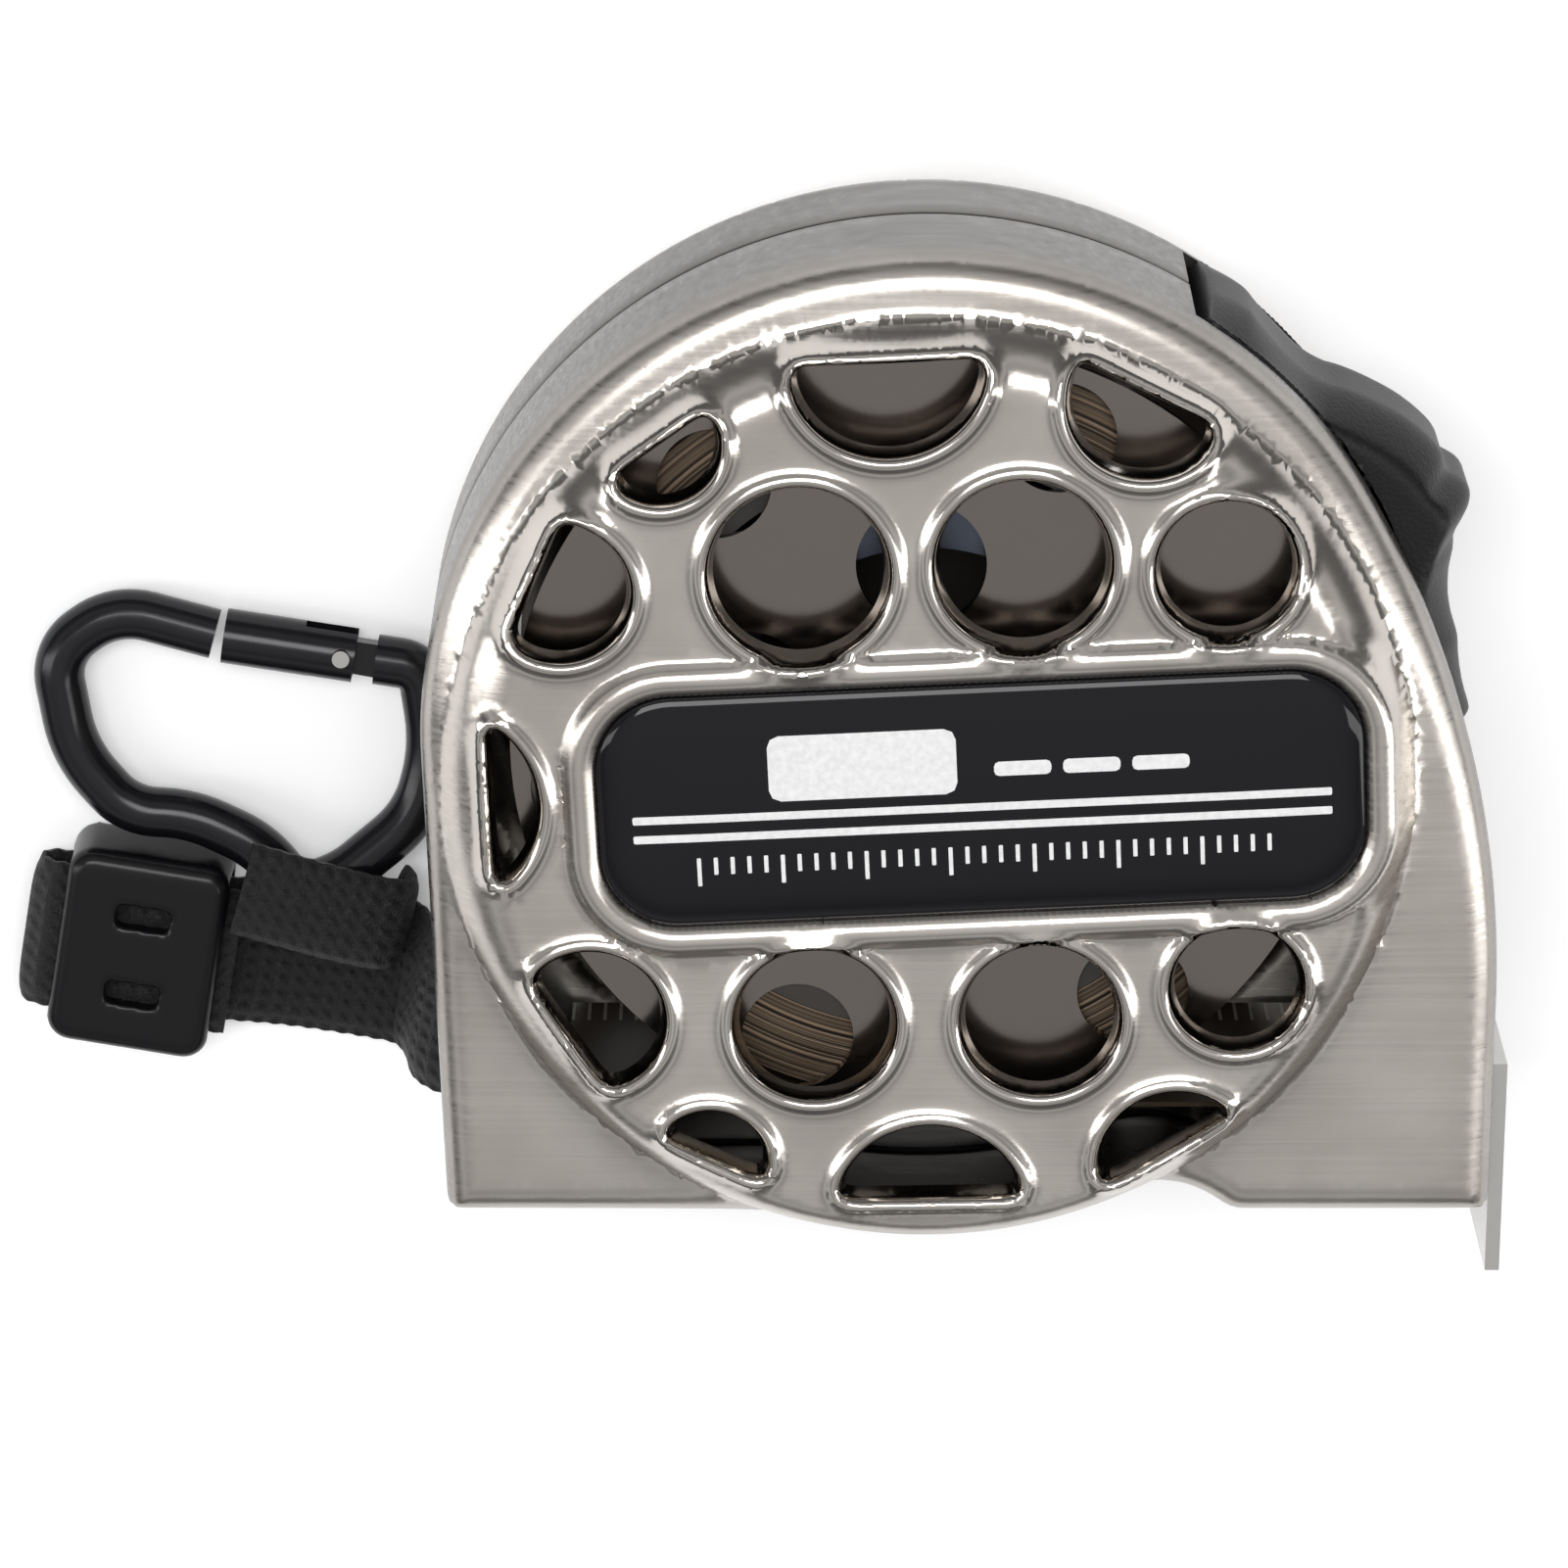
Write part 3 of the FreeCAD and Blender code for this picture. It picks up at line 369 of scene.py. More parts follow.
def pressed_half(name, side, top, step, has_label):
    """One drawn half. Heights are measured from the parting plane outwards."""
    edge = case_loop()
    whole_turn = np.linspace(0, 2 * math.pi, 73)[:-1]
    round_loops = [
        np.array([(x + r * math.cos(a), y + r * math.sin(a)) for a in whole_turn])
        for x, y, r in ROUND_WINDOWS
    ]
    windows = round_loops + [moon_loop(*m) for m in MOON_WINDOWS]
    fixed = [edge] + windows
    loose = []
    for distance in (0.12, 0.3, 0.55, 0.85, 1.2, 1.6, 2.1, 2.7, 3.4, 4.2):
        ring = moved_out(edge, -distance)
        loose.append(ring[(to_loop(ring, edge) > 0.96 * distance) & inside_of(ring, edge)])
    for number, loop in enumerate(windows):
        for distance in (0.1, 0.22, 0.36, 0.52, 0.7, 0.9, 1.12, 1.38, 1.7, 2.1):
            ring = moved_out(loop, distance)
            keep = to_loop(ring, loop) > 0.96 * distance
            for other, other_loop in enumerate(windows):
                if other != number:
                    keep &= to_loop(ring, other_loop) > distance - 0.02
                    keep &= ~inside_of(ring, other_loop)
            loose.append(ring[keep])
    if has_label:
        for grow in (-0.6, -0.15, 0.05, 0.2, 0.45, 0.7, 0.95, 1.2, 1.45, 1.7, 1.95, 2.3):
            ring = label_loop(grow, 0.45)
            for loop in windows:
                ring = ring[to_loop(ring, loop) > 0.25]
            loose.append(ring)
    for radius in np.arange(24.6, 30.4, 0.34):
        angle = np.linspace(0, 2 * math.pi, 260)[:-1]
        loose.append(np.stack([radius * np.cos(angle), radius * np.sin(angle) - 2.0], axis=1))
    grid = np.array(
        [(i * 0.8 + (j % 2) * 0.4, j * 0.7) for i in range(-45, 46) for j in range(-48, 48)], float
    )
    near = np.min([to_loop(grid, loop) for loop in windows], axis=0)
    grid = grid[near > 2.2]
    if has_label:
        grid = grid[np.abs(label_distance(grid) - 0.8) > 1.7]
    loose.append(grid)
    free = np.concatenate(loose)
    clear = inside_of(free, edge) & (to_loop(free, edge) > 0.08)
    for loop in windows:
        clear &= ~inside_of(free, loop) & (to_loop(free, loop) > 0.05)
    free = free[clear]
    cells = {}
    for spot in free:
        cells.setdefault((round(spot[0] / 0.13), round(spot[1] / 0.13)), spot)
    free = np.array(list(cells.values()))

    verts, edges, begin = [], [], 0
    for loop in fixed:
        verts += [Vector(p) for p in loop]
        edges += [(begin + i, begin + (i + 1) % len(loop)) for i in range(len(loop))]
        begin += len(loop)
    verts += [Vector(p) for p in free]
    flat, _, faces, _, _, _ = geometry.delaunay_2d_cdt(verts, edges, [], 0, 1e-5)
    flat = np.array([tuple(v) for v in flat])
    faces = np.array([tuple(f) for f in faces if len(f) == 3])
    middle = flat[faces].mean(axis=1)
    keep = inside_of(middle, edge)
    for loop in windows:
        keep &= ~inside_of(middle, loop)
    faces = faces[keep]

    inset = to_loop(flat, edge)
    distance = np.array([to_loop(flat, loop) for loop in windows])
    radius = np.hypot(flat[:, 0], flat[:, 1] + 2.0)
    down = np.clip(-(flat[:, 1] + 2.0) / np.maximum(radius, 0.1), 0, 1)
    reach, soft, fall = 29.0 + 0.7 * down, 4.0 - 1.8 * down, 4.6
    share = np.clip((radius - (reach - soft)) / soft, 0, 1)
    disc = top - fall * (1 - np.sqrt(1 - share**2)) - 3.0 * np.maximum(radius - reach, 0)
    ease = 2.0
    rim = np.clip(ease - inset, 0, ease)
    blend_size = 3.6
    lift = 0.5 * (math.sqrt(step**2 + blend_size) - step)
    corner = top - step + 0.5 * lift - (ease - np.sqrt(np.maximum(ease**2 - rim**2, 0)))
    height = 0.5 * (disc + corner + np.sqrt((disc - corner) ** 2 + blend_size)) - lift
    nearest = distance.min(axis=0)
    bead = (np.exp(-3 * ((distance - BEAD_CENTRE) / BEAD_SPREAD) ** 2)).sum(axis=0) ** (1 / 3)
    bead = np.minimum(bead, 1.15)
    lip = np.clip(1 - nearest / LIP_WIDTH, 0, 1) ** 2
    height = height + (BEAD_RISE if side > 0 else 0.0) * bead - LIP_DROP * lip
    bright = np.clip((flat[:, 1] + 8) / 30, 0, 0.6) * np.clip((30.5 - radius) / 1.5, 0, 1)
    polish = np.maximum(np.clip(1.25 - np.abs(nearest - 0.6) / 1.0, 0, 1), bright)
    if has_label:
        label = label_distance(flat)
        wave = np.clip(1 - ((label - FRAME_CENTRE) / FRAME_SPREAD) ** 2, 0, 1) ** 0.75
        pad = np.clip((3.2 - label) / 1.6, 0, 1)
        pad = pad * pad * (3 - 2 * pad)
        padded = height * (1 - pad) + np.maximum(height, top) * pad
        height = np.where(nearest > 0.3, padded, height)
        height = height + FRAME_RISE * wave
        height = np.where(label < -0.05, top - SEAT_DROP, height)
        polish = np.maximum(polish * (label > 1.2), 0.45 * wave)

    points = [(p[0], p[1], h) for p, h in zip(flat, height)]
    shine = list(polish)
    # Painted shade: this mark darkens the steel's base colour along the face's edge and down the
    # walls.
    painted_wall_shade = list(np.clip(1 - inset / 1.4, 0, 1) ** 2)
    tris = [tuple(int(i) for i in f) for f in faces]

    marks = [8.3, 6.85, 6.3, 4.3, 2.2, 0.4, 0.2, 0.0]
    count = len(edge)
    walls, above = [], list(range(count))
    wall_rows = []
    top_of_wall = height[:count]
    levels = [m for m in marks if m < float(top_of_wall.min()) - 0.05]
    for level in levels:
        pull = {0.2: 0.06, 0.0: 0.22}.get(level, 0.0)
        ring = moved_out(edge, -pull)
        begin = len(points)
        points += [(p[0], p[1], level) for p in ring]
        shine += [0.0] * count
        # Painted shade on the wall rows, darkest at the seam between the halves.
        painted_wall_shade += [3.0 if level < 0.1 else 1.25] * count
        wall_rows.append((level, list(range(begin, begin + count))))
    upper, upper_level = above, 99.0
    for level, ring in wall_rows:
        centre_level = (min(upper_level, float(top_of_wall.mean())) + level) / 2
        for i in range(count):
            j = (i + 1) % count
            x, y = (edge[i] + edge[j]) / 2
            angle = math.degrees(math.atan2(y, x))
            if 6 < angle < 58.5 and centre_level < 6.85:
                continue
            if x > 34 and -26.1 < y < -23.0 and centre_level < 8.3:
                continue
            if side < 0 and x < -28.5 and -29.8 < y < -19.2 and 4.3 < centre_level < 6.3:
                continue
            walls.append((upper[i], upper[j], ring[j], ring[i]))
        upper, upper_level = ring, level

    area = sum(
        (points[a][0] * points[b][1] - points[b][0] * points[a][1])
        for a, b in zip(range(count), list(range(1, count)) + [0])
    )
    if area >= 0:
        walls = [w[::-1] for w in walls]
    mesh = bpy.data.meshes.new(name)
    world = [(p[0] / 1000, p[1] / 1000, (PARTING + side * p[2]) / 1000) for p in points]
    mesh.from_pydata(world, [], tris + walls)
    mark = mesh.attributes.new("polish", "FLOAT", "POINT")
    mark.data.foreach_set("value", np.array(shine, np.float32))
    # The painted-shade mark is stored on the points so the material can darken the base colour
    # there.
    mark = mesh.attributes.new("wall", "FLOAT", "POINT")
    mark.data.foreach_set("value", np.array(painted_wall_shade, np.float32))
    made = bpy.data.objects.new(name, mesh)
    bpy.context.scene.collection.objects.link(made)
    bpy.ops.object.select_all(action="DESELECT")
    bpy.context.view_layer.objects.active = made
    made.select_set(True)
    bpy.ops.object.mode_set(mode="EDIT")
    bpy.ops.mesh.select_all(action="SELECT")
    bpy.ops.mesh.delete_loose()
    bpy.ops.mesh.select_all(action="SELECT")
    bpy.ops.mesh.normals_make_consistent(inside=False)
    bpy.ops.object.mode_set(mode="OBJECT")
    upward = sum(p.normal.z * p.area for p in mesh.polygons) * side
    if upward < 0:
        mesh.flip_normals()
    bpy.ops.object.modifier_add(type="SOLIDIFY")
    made.modifiers[0].thickness = SHEET_GAUGE
    made.modifiers[0].offset = -1
    bpy.ops.object.modifier_apply(modifier=made.modifiers[0].name)
    bpy.ops.object.shade_smooth_by_angle(angle=math.radians(38))
    return made


front_half = pressed_half("front_half", 1, 13.2, 2.8, True)
back_half = pressed_half("back_half", -1, 13.5, 4.3, False)

steel_finish, tree, shader = principled("brushed_steel")
shader.inputs["Metallic"].default_value = 1
where = tree.nodes.new("ShaderNodeTexCoord")
place = tree.nodes.new("ShaderNodeMapping")
place.inputs["Scale"].default_value = (60, 4200, 900)
place.inputs["Rotation"].default_value = (0, 0, math.radians(-4))
grain = tree.nodes.new("ShaderNodeTexNoise")
grain.inputs["Scale"].default_value = 1
grain.inputs["Detail"].default_value = 3
cloud = tree.nodes.new("ShaderNodeTexNoise")
cloud.inputs["Scale"].default_value = 120
cloud.inputs["Detail"].default_value = 4
tint = tree.nodes.new("ShaderNodeValToRGB")
tint.color_ramp.elements[0].position = 0.3
tint.color_ramp.elements[0].color = (0.50, 0.465, 0.425, 1)
tint.color_ramp.elements[1].position = 0.75
tint.color_ramp.elements[1].color = (0.62, 0.585, 0.54, 1)
shine = tree.nodes.new("ShaderNodeAttribute")
shine.attribute_name = "polish"
rough = tree.nodes.new("ShaderNodeMapRange")
rough.inputs["From Min"].default_value = 0.25
rough.inputs["From Max"].default_value = 0.75
rough.inputs["To Min"].default_value = 0.24
rough.inputs["To Max"].default_value = 0.38
smooth = tree.nodes.new("ShaderNodeMix")
smooth.data_type = "FLOAT"
smooth.inputs[3].default_value = 0.11
scratch = tree.nodes.new("ShaderNodeBump")
scratch.inputs["Strength"].default_value = 0.10
scratch.inputs["Distance"].default_value = 0.00004
wire(tree, where, "Object", place, "Vector")
wire(tree, place, "Vector", grain, "Vector")
wire(tree, where, "Object", cloud, "Vector")
wire(tree, grain, "Fac", rough, "Value")
wire(tree, cloud, "Fac", tint, "Fac")
# Painted shade: the wall mark pulls the steel's base colour towards a near-black grey on the
# walls, the seam and the face's edge.
wall = tree.nodes.new("ShaderNodeAttribute")
wall.attribute_name = "wall"
darker = tree.nodes.new("ShaderNodeMapRange")
darker.inputs["From Max"].default_value = 3
darker.inputs["To Min"].default_value = 1
darker.inputs["To Max"].default_value = -0.8
shade = tree.nodes.new("ShaderNodeMix")
shade.data_type = "RGBA"
shade.blend_type = "MIX"
shade.inputs[6].default_value = (0.02, 0.02, 0.02, 1)
wire(tree, wall, "Fac", darker, "Value")
wire(tree, darker, "Result", shade, 0)
wire(tree, tint, "Color", shade, 7)
tree.links.new(shade.outputs[2], shader.inputs["Base Color"])
wire(tree, shine, "Fac", smooth, 0)
wire(tree, rough, "Result", smooth, 2)
tree.links.new(smooth.outputs[0], shader.inputs["Roughness"])
wire(tree, grain, "Fac", scratch, "Height")
wire(tree, scratch, "Normal", shader, "Normal")

for piece, node in ((front_half, "front_shell"), (back_half, "back_shell")):
    piece.data.materials.append(steel_finish)
    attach(piece, "case")
    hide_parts(node)

# ---------------------------------------------------------------- label
# A black plate with a clear resin dome over it, set in the raised frame of the front half. Its
# print is plain: a silver block, two long stripes and a row of scale marks.

DOME_FOOT, DOME_RISE, DOME_CROWN = 26.9, 0.45, 0.12
PLATE_FOOT = 26.55
EDGE_ROOM = 0.06


def dome_height(distance):
    """The plate's surface above its foot, for a distance inside its edge."""
    share = np.clip(distance / 2.2, 0, 1)
    crown = DOME_CROWN * np.clip(distance / LABEL_HALF[1], 0, 1)
    return DOME_FOOT + DOME_RISE * np.sqrt(1 - (1 - share) ** 2) + crown


def label_dome():
    """The plate as closed rings from its foot, over its edge, to its flat middle."""
    rings = []
    for inset in (0.0, 0.0, 0.06, 0.16, 0.32, 0.55, 0.9, 1.4, 2.0, 3.0, 4.2, 5.6):
        half = (LABEL_HALF[0] - EDGE_ROOM - inset, LABEL_HALF[1] - EDGE_ROOM - inset)
        corner = max(LABEL_CORNER - inset, 0.3)
        ring = []
        for sx, sy, start in ((1, 1, 0), (-1, 1, 90), (-1, -1, 180), (1, -1, 270)):
            for i in range(17):
                a = math.radians(start + 90 * i / 16)
                ring.append(
                    (
                        sx * (half[0] - corner) + corner * math.cos(a),
                        sy * (half[1] - corner) + corner * math.sin(a),
                        float(dome_height(inset)),
                    )
                )
        rings.append(ring)
    rings[0] = [(x, y, PLATE_FOOT) for x, y, _ in rings[0]]
    count = len(rings[0])
    verts = [p for ring in rings for p in ring]
    faces = [tuple(range(count))[::-1]]
    for r in range(len(rings) - 1):
        for i in range(count):
            a, b = r * count + i, r * count + (i + 1) % count
            faces.append((a, b, b + count, a + count))
    faces.append(tuple(range((len(rings) - 1) * count, len(rings) * count)))
    return verts, faces


def label_piece(name, verts, faces):
    """A piece on the label, turned and placed as the label is."""
    turn = math.radians(LABEL_TURN)
    c, s = math.cos(turn), math.sin(turn)
    world = [
        (
            (LABEL_CENTRE[0] + x * c - y * s) / 1000,
            (LABEL_CENTRE[1] + x * s + y * c) / 1000,
            z / 1000,
        )
        for x, y, z in verts
    ]
    mesh = bpy.data.meshes.new(name)
    mesh.from_pydata(world, [], faces)
    made = bpy.data.objects.new(name, mesh)
    bpy.context.scene.collection.objects.link(made)
    bpy.ops.object.select_all(action="DESELECT")
    bpy.context.view_layer.objects.active = made
    made.select_set(True)
    bpy.ops.object.shade_smooth_by_angle(angle=math.radians(50))
    return made


label = label_piece("label_dome", *label_dome())
label_finish, tree, shader = principled("black_resin")
shader.inputs["Base Color"].default_value = (0.003, 0.003, 0.005, 1)
shader.inputs["Roughness"].default_value = 0.06
shader.inputs["IOR"].default_value = 1.38
where = tree.nodes.new("ShaderNodeTexCoord")
ripple = tree.nodes.new("ShaderNodeTexNoise")
ripple.inputs["Scale"].default_value = 260
soft = tree.nodes.new("ShaderNodeBump")
soft.inputs["Strength"].default_value = 0.08
soft.inputs["Distance"].default_value = 0.00006
wire(tree, where, "Object", ripple, "Vector")
wire(tree, ripple, "Fac", soft, "Height")
wire(tree, soft, "Normal", shader, "Normal")
label.data.materials.append(label_finish)
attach(label, "case")
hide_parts("label_plate")


def print_box(verts, faces, left, low, right, high, corner):
    """A flat patch of print that follows the dome."""
    across = max(2, int((right - left) / 0.8))
    begin = len(verts)
    rows = [low, low + corner * 0.3, low + corner, high - corner, high - corner * 0.3, high]
    for y in rows:
        near = min(y - low, high - y)
        cut = corner - math.sqrt(max(corner**2 - max(corner - near, 0) ** 2, 0))
        for i in range(across + 1):
            x = left + cut + (right - left - 2 * cut) * i / across
            inset = min(LABEL_HALF[0] - abs(x), LABEL_HALF[1] - abs(y))
            verts.append((x, y, float(dome_height(inset)) + 0.02))
    for j in range(len(rows) - 1):
        for i in range(across):
            a = begin + j * (across + 1) + i
            faces.append((a, a + 1, a + across + 2, a + across + 1))


verts, faces = [], []
print_box(verts, faces, -12.6, 0.6, -1.4, 4.7, 0.7)
print_box(verts, faces, -20.8, -0.55, 20.8, -0.05, 0.1)
print_box(verts, faces, -20.8, -1.75, 20.8, -1.25, 0.1)
for i in range(3):
    print_box(verts, faces, 0.8 + 4.1 * i, 1.6, 4.2 + 4.1 * i, 2.5, 0.3)
for i in range(35):
    print_box(verts, faces, -17.1 + i, -4.6 if i % 5 == 0 else -3.9, -16.85 + i, -2.8, 0.05)
print_marks = label_piece("label_print", verts, faces)
print_finish, tree, shader = principled("silver_print")
shader.inputs["Base Color"].default_value = (0.80, 0.80, 0.80, 1)
shader.inputs["Roughness"].default_value = 0.35
where = tree.nodes.new("ShaderNodeTexCoord")
speck = tree.nodes.new("ShaderNodeTexNoise")
speck.inputs["Scale"].default_value = 2400
fleck = tree.nodes.new("ShaderNodeValToRGB")
fleck.color_ramp.elements[0].color = (0.62, 0.62, 0.62, 1)
fleck.color_ramp.elements[1].color = (0.92, 0.92, 0.92, 1)
wire(tree, where, "Object", speck, "Vector")
wire(tree, speck, "Fac", fleck, "Fac")
wire(tree, fleck, "Color", shader, "Base Color")
print_marks.data.materials.append(print_finish)
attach(print_marks, "case")

# ---------------------------------------------------------------- thumb lock
# One moulded saddle of matt black nylon with a finger dish, a hump and a second ridge. It slides
# in the gap of both halves and carries the arm that presses the brake pad on the blade.


def softened_copy(node, name, voxel, rounds, target):
    """A copy of a machined node with its edges eased, as a moulding has them."""
    mesh = nodes[node].data.copy()
    mesh.name = name
    mesh.materials.clear()
    made = bpy.data.objects.new(name, mesh)
    bpy.context.scene.collection.objects.link(made)
    bpy.ops.object.select_all(action="DESELECT")
    bpy.context.view_layer.objects.active = made
    made.select_set(True)
    bpy.ops.object.mode_set(mode="EDIT")
    bpy.ops.mesh.select_all(action="SELECT")
    bpy.ops.mesh.remove_doubles(threshold=0.00001)
    bpy.ops.object.mode_set(mode="OBJECT")
    for kind in ("REMESH", "SMOOTH", "DECIMATE"):
        bpy.ops.object.modifier_add(type=kind)
        modifier = made.modifiers[-1]
        if kind == "REMESH":
            modifier.mode = "VOXEL"
            modifier.voxel_size = voxel
        if kind == "SMOOTH":
            modifier.factor = 0.5
            modifier.iterations = rounds
        if kind == "DECIMATE":
            modifier.ratio = target
        bpy.ops.object.modifier_apply(modifier=modifier.name)
    bpy.ops.object.shade_smooth()
    return made


# The saddle's sides are eased, and its dish, notch and second notch are given by their turn
# about the reel's axis, their spread in degrees and their depth.
LOCK_HALF_WIDTH = 6.5
LOCK_HOLLOWS = ((44, 5.5, 0.9), (25.5, 1.6, 0.55), (19.5, 1.4, 0.4))
lock = softened_copy("lock_button", "lock_saddle", 0.00028, 7, 0.7)
for vertex in lock.data.vertices:
    x, y, z = [1000 * c for c in vertex.co]
    reach = math.hypot(x, y)
    off_centre = min(1, abs(z - PARTING) / LOCK_HALF_WIDTH)
    proud = min(1, max(0, (reach - 30.6) / 1.6))
    inwards = proud * (2.0 * max(0, off_centre - 0.35) ** 1.6 / 0.5)
    turn = math.degrees(math.atan2(y, x))
    for middle, spread, depth in LOCK_HOLLOWS:
        dish = math.exp(-(((turn - middle) / spread) ** 2))
        inwards += proud * depth * dish * max(0, 1 - off_centre**4)
    if inwards:
        vertex.co.x *= (reach - inwards) / reach
        vertex.co.y *= (reach - inwards) / reach
plastic_finish, tree, shader = principled("matt_black_nylon")
shader.inputs["Base Color"].default_value = (0.005, 0.005, 0.006, 1)
shader.inputs["Roughness"].default_value = 0.42
shader.inputs["Specular IOR Level"].default_value = 0.28
where = tree.nodes.new("ShaderNodeTexCoord")
spark = tree.nodes.new("ShaderNodeTexVoronoi")
spark.inputs["Scale"].default_value = 3800
etch = tree.nodes.new("ShaderNodeBump")
etch.inputs["Strength"].default_value = 0.35
etch.inputs["Distance"].default_value = 0.00005
wire(tree, where, "Object", spark, "Vector")
wire(tree, spark, "Distance", etch, "Height")
wire(tree, etch, "Normal", shader, "Normal")
lock.data.materials.append(plastic_finish)
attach(lock, "lock")
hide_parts("lock_button")

# ---------------------------------------------------------------- slider
# A keeper on the strap, moulded in satin black plastic with bevelled edges and two small slots
# in its face. The webbing runs through it twice.

slider = softened_copy("strap_slider", "keeper", 0.00022, 5, 0.6)
keeper_finish, tree, shader = principled("satin_black_keeper")
shader.inputs["Base Color"].default_value = (0.004, 0.004, 0.005, 1)
shader.inputs["Roughness"].default_value = 0.26
shader.inputs["Specular IOR Level"].default_value = 0.28
where = tree.nodes.new("ShaderNodeTexCoord")
skin = tree.nodes.new("ShaderNodeTexNoise")
skin.inputs["Scale"].default_value = 1800
skin_bump = tree.nodes.new("ShaderNodeBump")
skin_bump.inputs["Strength"].default_value = 0.12
skin_bump.inputs["Distance"].default_value = 0.00005
wire(tree, where, "Object", skin, "Vector")
wire(tree, skin, "Fac", skin_bump, "Height")
wire(tree, skin_bump, "Normal", shader, "Normal")
slider.data.materials.append(keeper_finish)
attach(slider, "case")
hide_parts("strap_slider")

# ---------------------------------------------------------------- carried-over parts
# The reel, its posts and spacers, the blade with its hook, the guide, and the carabiner are as
# they are made. Each gets the finish of its own stock, and the flanges' steel is darkened as
# painted shade.


def finish(name, colour, metallic, roughness, scale, depth, stretch=(1, 1, 1)):
    """A stock finish: one colour with fine marks in its roughness and its surface."""
    made, tree, shader = principled(name)
    shader.inputs["Base Color"].default_value = (*colour, 1)
    shader.inputs["Metallic"].default_value = metallic
    where = tree.nodes.new("ShaderNodeTexCoord")
    place = tree.nodes.new("ShaderNodeMapping")
    place.inputs["Scale"].default_value = stretch
    marks = tree.nodes.new("ShaderNodeTexNoise")
    marks.inputs["Scale"].default_value = scale
    marks.inputs["Detail"].default_value = 4
    span = tree.nodes.new("ShaderNodeMapRange")
    span.inputs["To Min"].default_value = roughness * 0.75
    span.inputs["To Max"].default_value = roughness * 1.3
    relief = tree.nodes.new("ShaderNodeBump")
    relief.inputs["Strength"].default_value = 0.15
    relief.inputs["Distance"].default_value = depth
    wire(tree, where, "Object", place, "Vector")
    wire(tree, place, "Vector", marks, "Vector")
    wire(tree, marks, "Fac", span, "Value")
    wire(tree, span, "Result", shader, "Roughness")
    wire(tree, marks, "Fac", relief, "Height")
    wire(tree, relief, "Normal", shader, "Normal")
    return made


def dress(material, *names):
    for name in names:
        mesh = nodes[name].data
        for number in range(max(1, len(mesh.materials))):
            if number < len(mesh.materials):
                mesh.materials[number] = material
            else:
                mesh.materials.append(material)


# Painted shade: the flanges' steel gets a dark base colour that stands in for the shade inside the
# case.
dress(
    finish("bright_flange", (0.20, 0.18, 0.165), 1, 0.17, 120, 0.00025),
    "front_flange",
    "back_flange",
)
dress(
    finish("turned_steel", (0.50, 0.49, 0.47), 1, 0.28, 900, 0.00003, (1, 1, 6)),
    "centre_post",
    "case_posts",
    "case_screws",
    "hook_rivets",
    "strap_pin",
    "gate_pin",
)
dress(finish("hook_steel", (0.62, 0.61, 0.59), 1, 0.30, 1500, 0.00003, (1, 1, 0.1)), "end_hook")
dress(finish("black_guide", (0.012, 0.012, 0.013), 0, 0.45, 1500, 0.00003), "mouth_guide")
dress(
    finish("grey_spacer", (0.10, 0.10, 0.11), 0, 0.45, 1500, 0.00003),
    "back_spacer",
    "front_spacer",
)
dress(finish("dark_drum", (0.035, 0.030, 0.026), 0, 0.40, 900, 0.00004), "drum")
dress(finish("blued_spring", (0.09, 0.10, 0.13), 1, 0.30, 900, 0.00003), "power_spring")
dress(finish("lock_arm_nylon", (0.012, 0.012, 0.014), 0, 0.45, 2600, 0.00004), "lock_arm")
dress(finish("pad_rubber", (0.02, 0.02, 0.02), 0, 0.75, 2600, 0.00006), "brake_pad")
dress(
    finish("black_anodised", (0.008, 0.008, 0.010), 0.35, 0.20, 1300, 0.00002),
    "carabiner_ring",
    "carabiner_gate",
)

# The wound tape shows its lacquered edges: fine dark-brown rings with bare steel between.
coil_finish, tree, shader = principled("wound_tape_edges")
where = tree.nodes.new("ShaderNodeTexCoord")
flatten = tree.nodes.new("ShaderNodeVectorMath")
flatten.operation = "MULTIPLY"
flatten.inputs[1].default_value = (1, 1, 0)
reach = tree.nodes.new("ShaderNodeVectorMath")
reach.operation = "LENGTH"
turns = tree.nodes.new("ShaderNodeMath")
turns.operation = "MULTIPLY"
turns.inputs[1].default_value = 4500
streak = tree.nodes.new("ShaderNodeTexNoise")
streak.noise_dimensions = "1D"
streak.inputs["Scale"].default_value = 1
streak.inputs["Detail"].default_value = 5
edge_tint = tree.nodes.new("ShaderNodeValToRGB")
edge_tint.color_ramp.elements[0].position = 0.38
edge_tint.color_ramp.elements[0].color = (0.015, 0.010, 0.007, 1)
edge_tint.color_ramp.elements[1].position = 0.66
edge_tint.color_ramp.elements[1].color = (0.24, 0.17, 0.11, 1)
edge_bump = tree.nodes.new("ShaderNodeBump")
edge_bump.inputs["Strength"].default_value = 0.7
edge_bump.inputs["Distance"].default_value = 0.0001
shader.inputs["Metallic"].default_value = 0.55
shader.inputs["Roughness"].default_value = 0.42
wire(tree, where, "Object", flatten, 0)
wire(tree, flatten, "Vector", reach, 0)
wire(tree, reach, "Value", turns, 0)
wire(tree, turns, "Value", streak, "W")
wire(tree, streak, "Fac", edge_tint, "Fac")
wire(tree, edge_tint, "Color", shader, "Base Color")
wire(tree, streak, "Fac", edge_bump, "Height")
wire(tree, edge_bump, "Normal", shader, "Normal")
dress(coil_finish, "tape_coil")

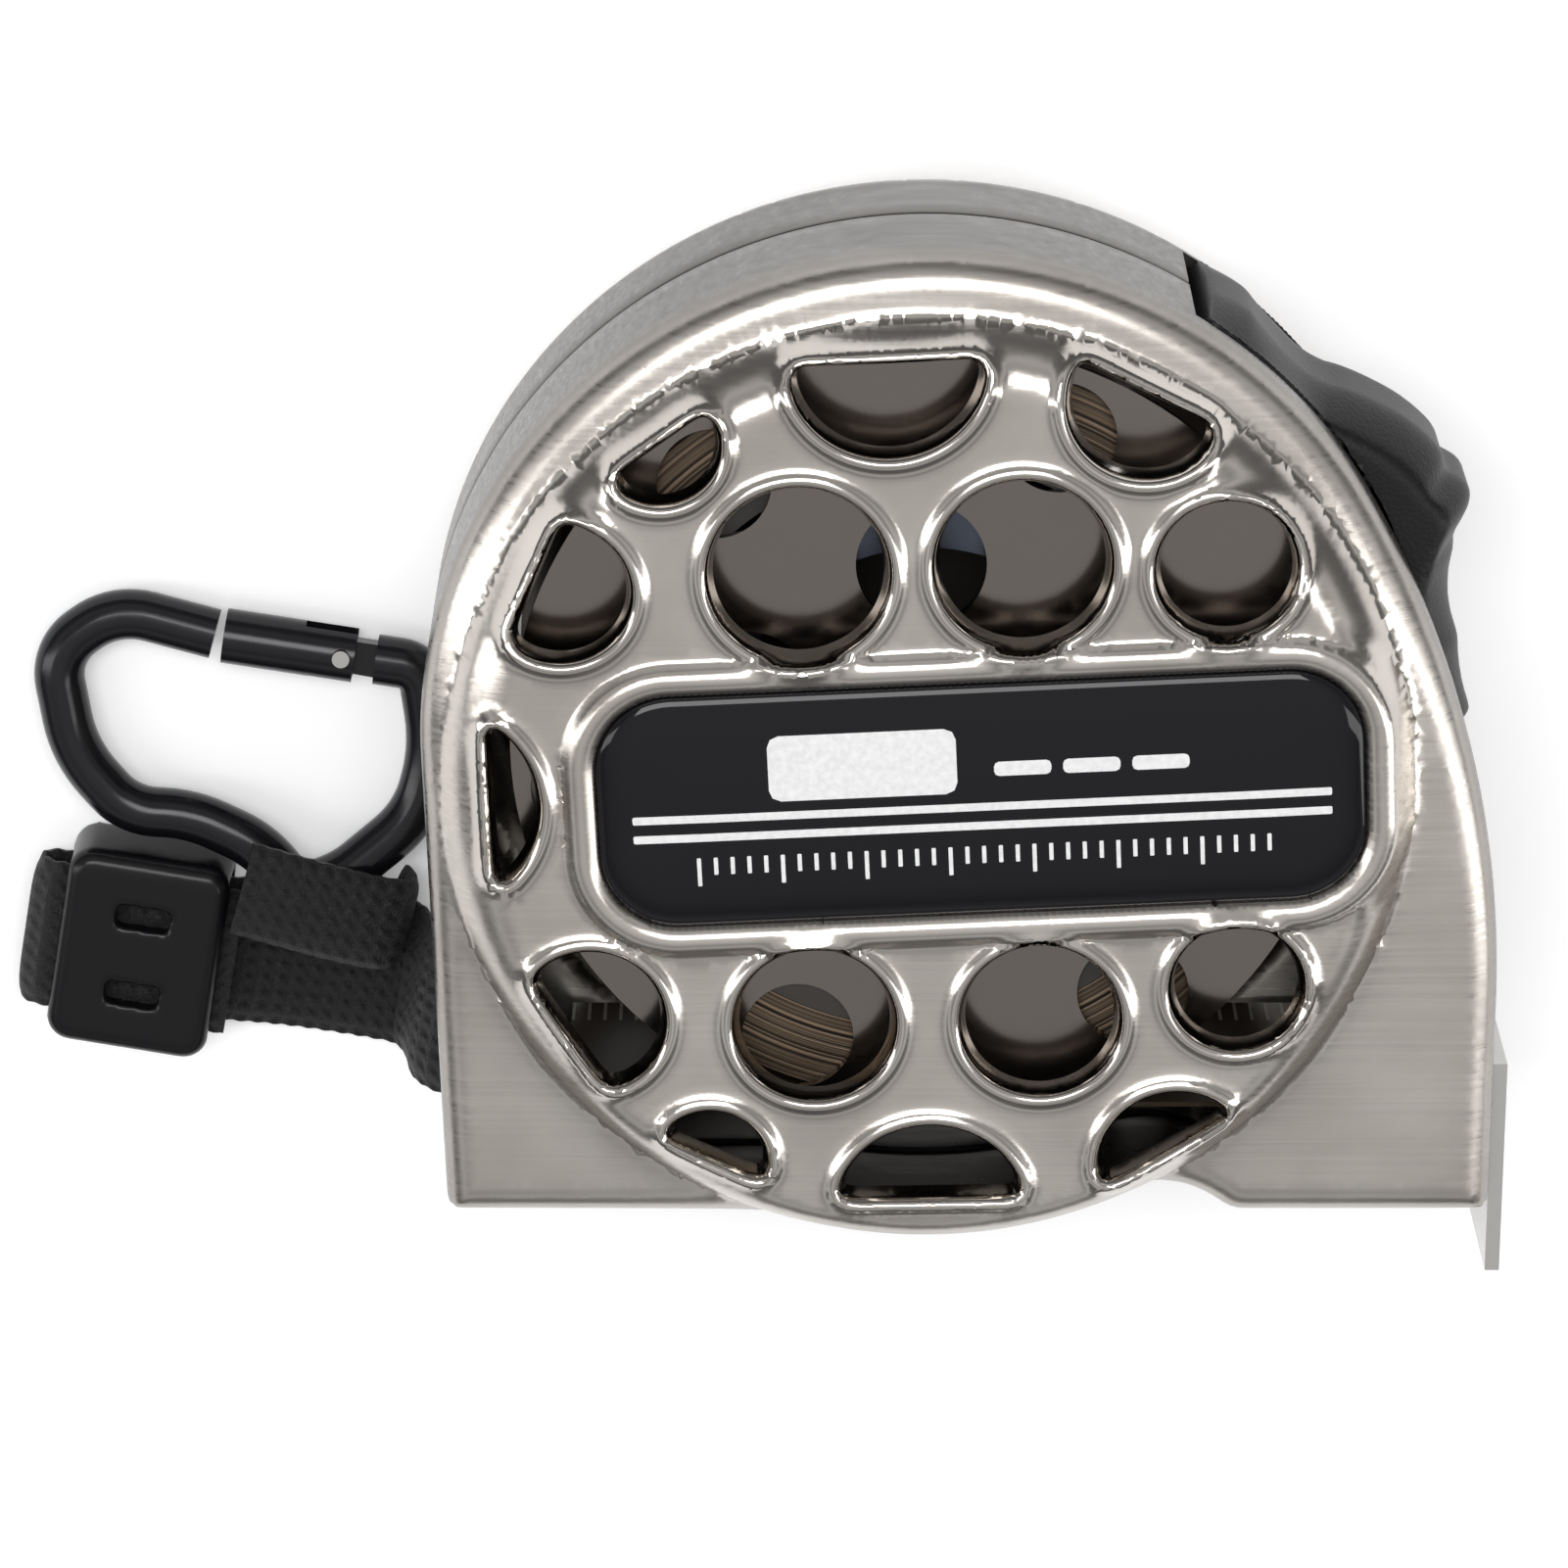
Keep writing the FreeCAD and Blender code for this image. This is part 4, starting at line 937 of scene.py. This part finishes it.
# The blade is lacquered dark bronze, with pale scale marks at one edge, one to a millimetre.
blade_finish, tree, shader = principled("bronze_lacquer")
where = tree.nodes.new("ShaderNodeTexCoord")
split = tree.nodes.new("ShaderNodeSeparateXYZ")
scale = tree.nodes.new("ShaderNodeMath")
scale.operation = "MULTIPLY"
scale.inputs[1].default_value = 1000
part = tree.nodes.new("ShaderNodeMath")
part.operation = "FRACT"
mark = tree.nodes.new("ShaderNodeMath")
mark.operation = "LESS_THAN"
mark.inputs[1].default_value = 0.2
low = tree.nodes.new("ShaderNodeMath")
low.operation = "LESS_THAN"
low.inputs[1].default_value = 0.0085
tick = tree.nodes.new("ShaderNodeMath")
tick.operation = "MULTIPLY"
paint = tree.nodes.new("ShaderNodeMix")
paint.data_type = "RGBA"
paint.inputs[6].default_value = (0.05, 0.035, 0.022, 1)
paint.inputs[7].default_value = (0.45, 0.42, 0.36, 1)
shader.inputs["Roughness"].default_value = 0.3
wire(tree, where, "Object", split, "Vector")
wire(tree, split, "X", scale, 0)
wire(tree, scale, "Value", part, 0)
wire(tree, part, "Value", mark, 0)
wire(tree, split, "Z", low, 0)
wire(tree, mark, "Value", tick, 0)
wire(tree, low, "Value", tick, 1)
wire(tree, tick, "Value", paint, 0)
tree.links.new(paint.outputs[2], shader.inputs["Base Color"])
dress(blade_finish, "tape_blade")

# ---------------------------------------------------------------- table and light
# A plain white table, with a large soft light overhead and strip lights at the sides. The room
# round it is darker low down, so the polished metal has something to mirror.

bpy.ops.mesh.primitive_plane_add(size=3, location=(0, 0, 0))
floor = bpy.context.object
floor.name = "table"
floor_finish, tree, shader = principled("white_table")
shader.inputs["Base Color"].default_value = (0.92, 0.92, 0.93, 1)
shader.inputs["Roughness"].default_value = 0.9
shader.inputs["Emission Color"].default_value = (1, 1, 1, 1)
shader.inputs["Emission Strength"].default_value = 0.22
shader.inputs["Specular IOR Level"].default_value = 0.1
floor.data.materials.append(floor_finish)

world = bpy.data.worlds.new("studio")
world.use_nodes = True
sky = world.node_tree
aim = sky.nodes.new("ShaderNodeTexCoord")
split = sky.nodes.new("ShaderNodeSeparateXYZ")
glow = sky.nodes.new("ShaderNodeValToRGB")
glow.color_ramp.elements[0].position = 0.0
glow.color_ramp.elements[0].color = (0.10, 0.10, 0.105, 1)
glow.color_ramp.elements[1].position = 0.97
glow.color_ramp.elements[1].color = (0.80, 0.80, 0.80, 1)
for position, grey in ((0.35, 0.22), (0.55, 0.75), (0.75, 0.35)):
    stop = glow.color_ramp.elements.new(position)
    stop.color = (grey, grey, grey, 1)
wire(sky, aim, "Generated", split, "Vector")
wire(sky, split, "Z", glow, "Fac")
wire(sky, glow, "Color", sky.nodes["Background"], "Color")
sky.nodes["Background"].inputs["Strength"].default_value = 0.9
bpy.context.scene.world = world
bpy.context.scene.view_settings.view_transform = "Standard"


def softbox(name, place, aim, across, tall, power):
    lamp = bpy.data.lights.new(name, "AREA")
    lamp.shape = "RECTANGLE"
    lamp.size = across
    lamp.size_y = tall
    lamp.energy = power
    holder = bpy.data.objects.new(name, lamp)
    bpy.context.scene.collection.objects.link(holder)
    holder.location = place
    holder.rotation_euler = (Vector(aim) - Vector(place)).to_track_quat("-Z", "Y").to_euler()
    return holder


softbox("overhead", (-0.05, 0.28, 0.70), (0, 0, 0), 0.5, 0.25, 2.6)
softbox("left_strip", (-0.60, 0.0, 0.40), (0, 0, 0), 0.15, 0.7, 1.2)
softbox("right_strip", (0.55, -0.15, 0.40), (0, 0, 0), 0.15, 0.7, 1.2)
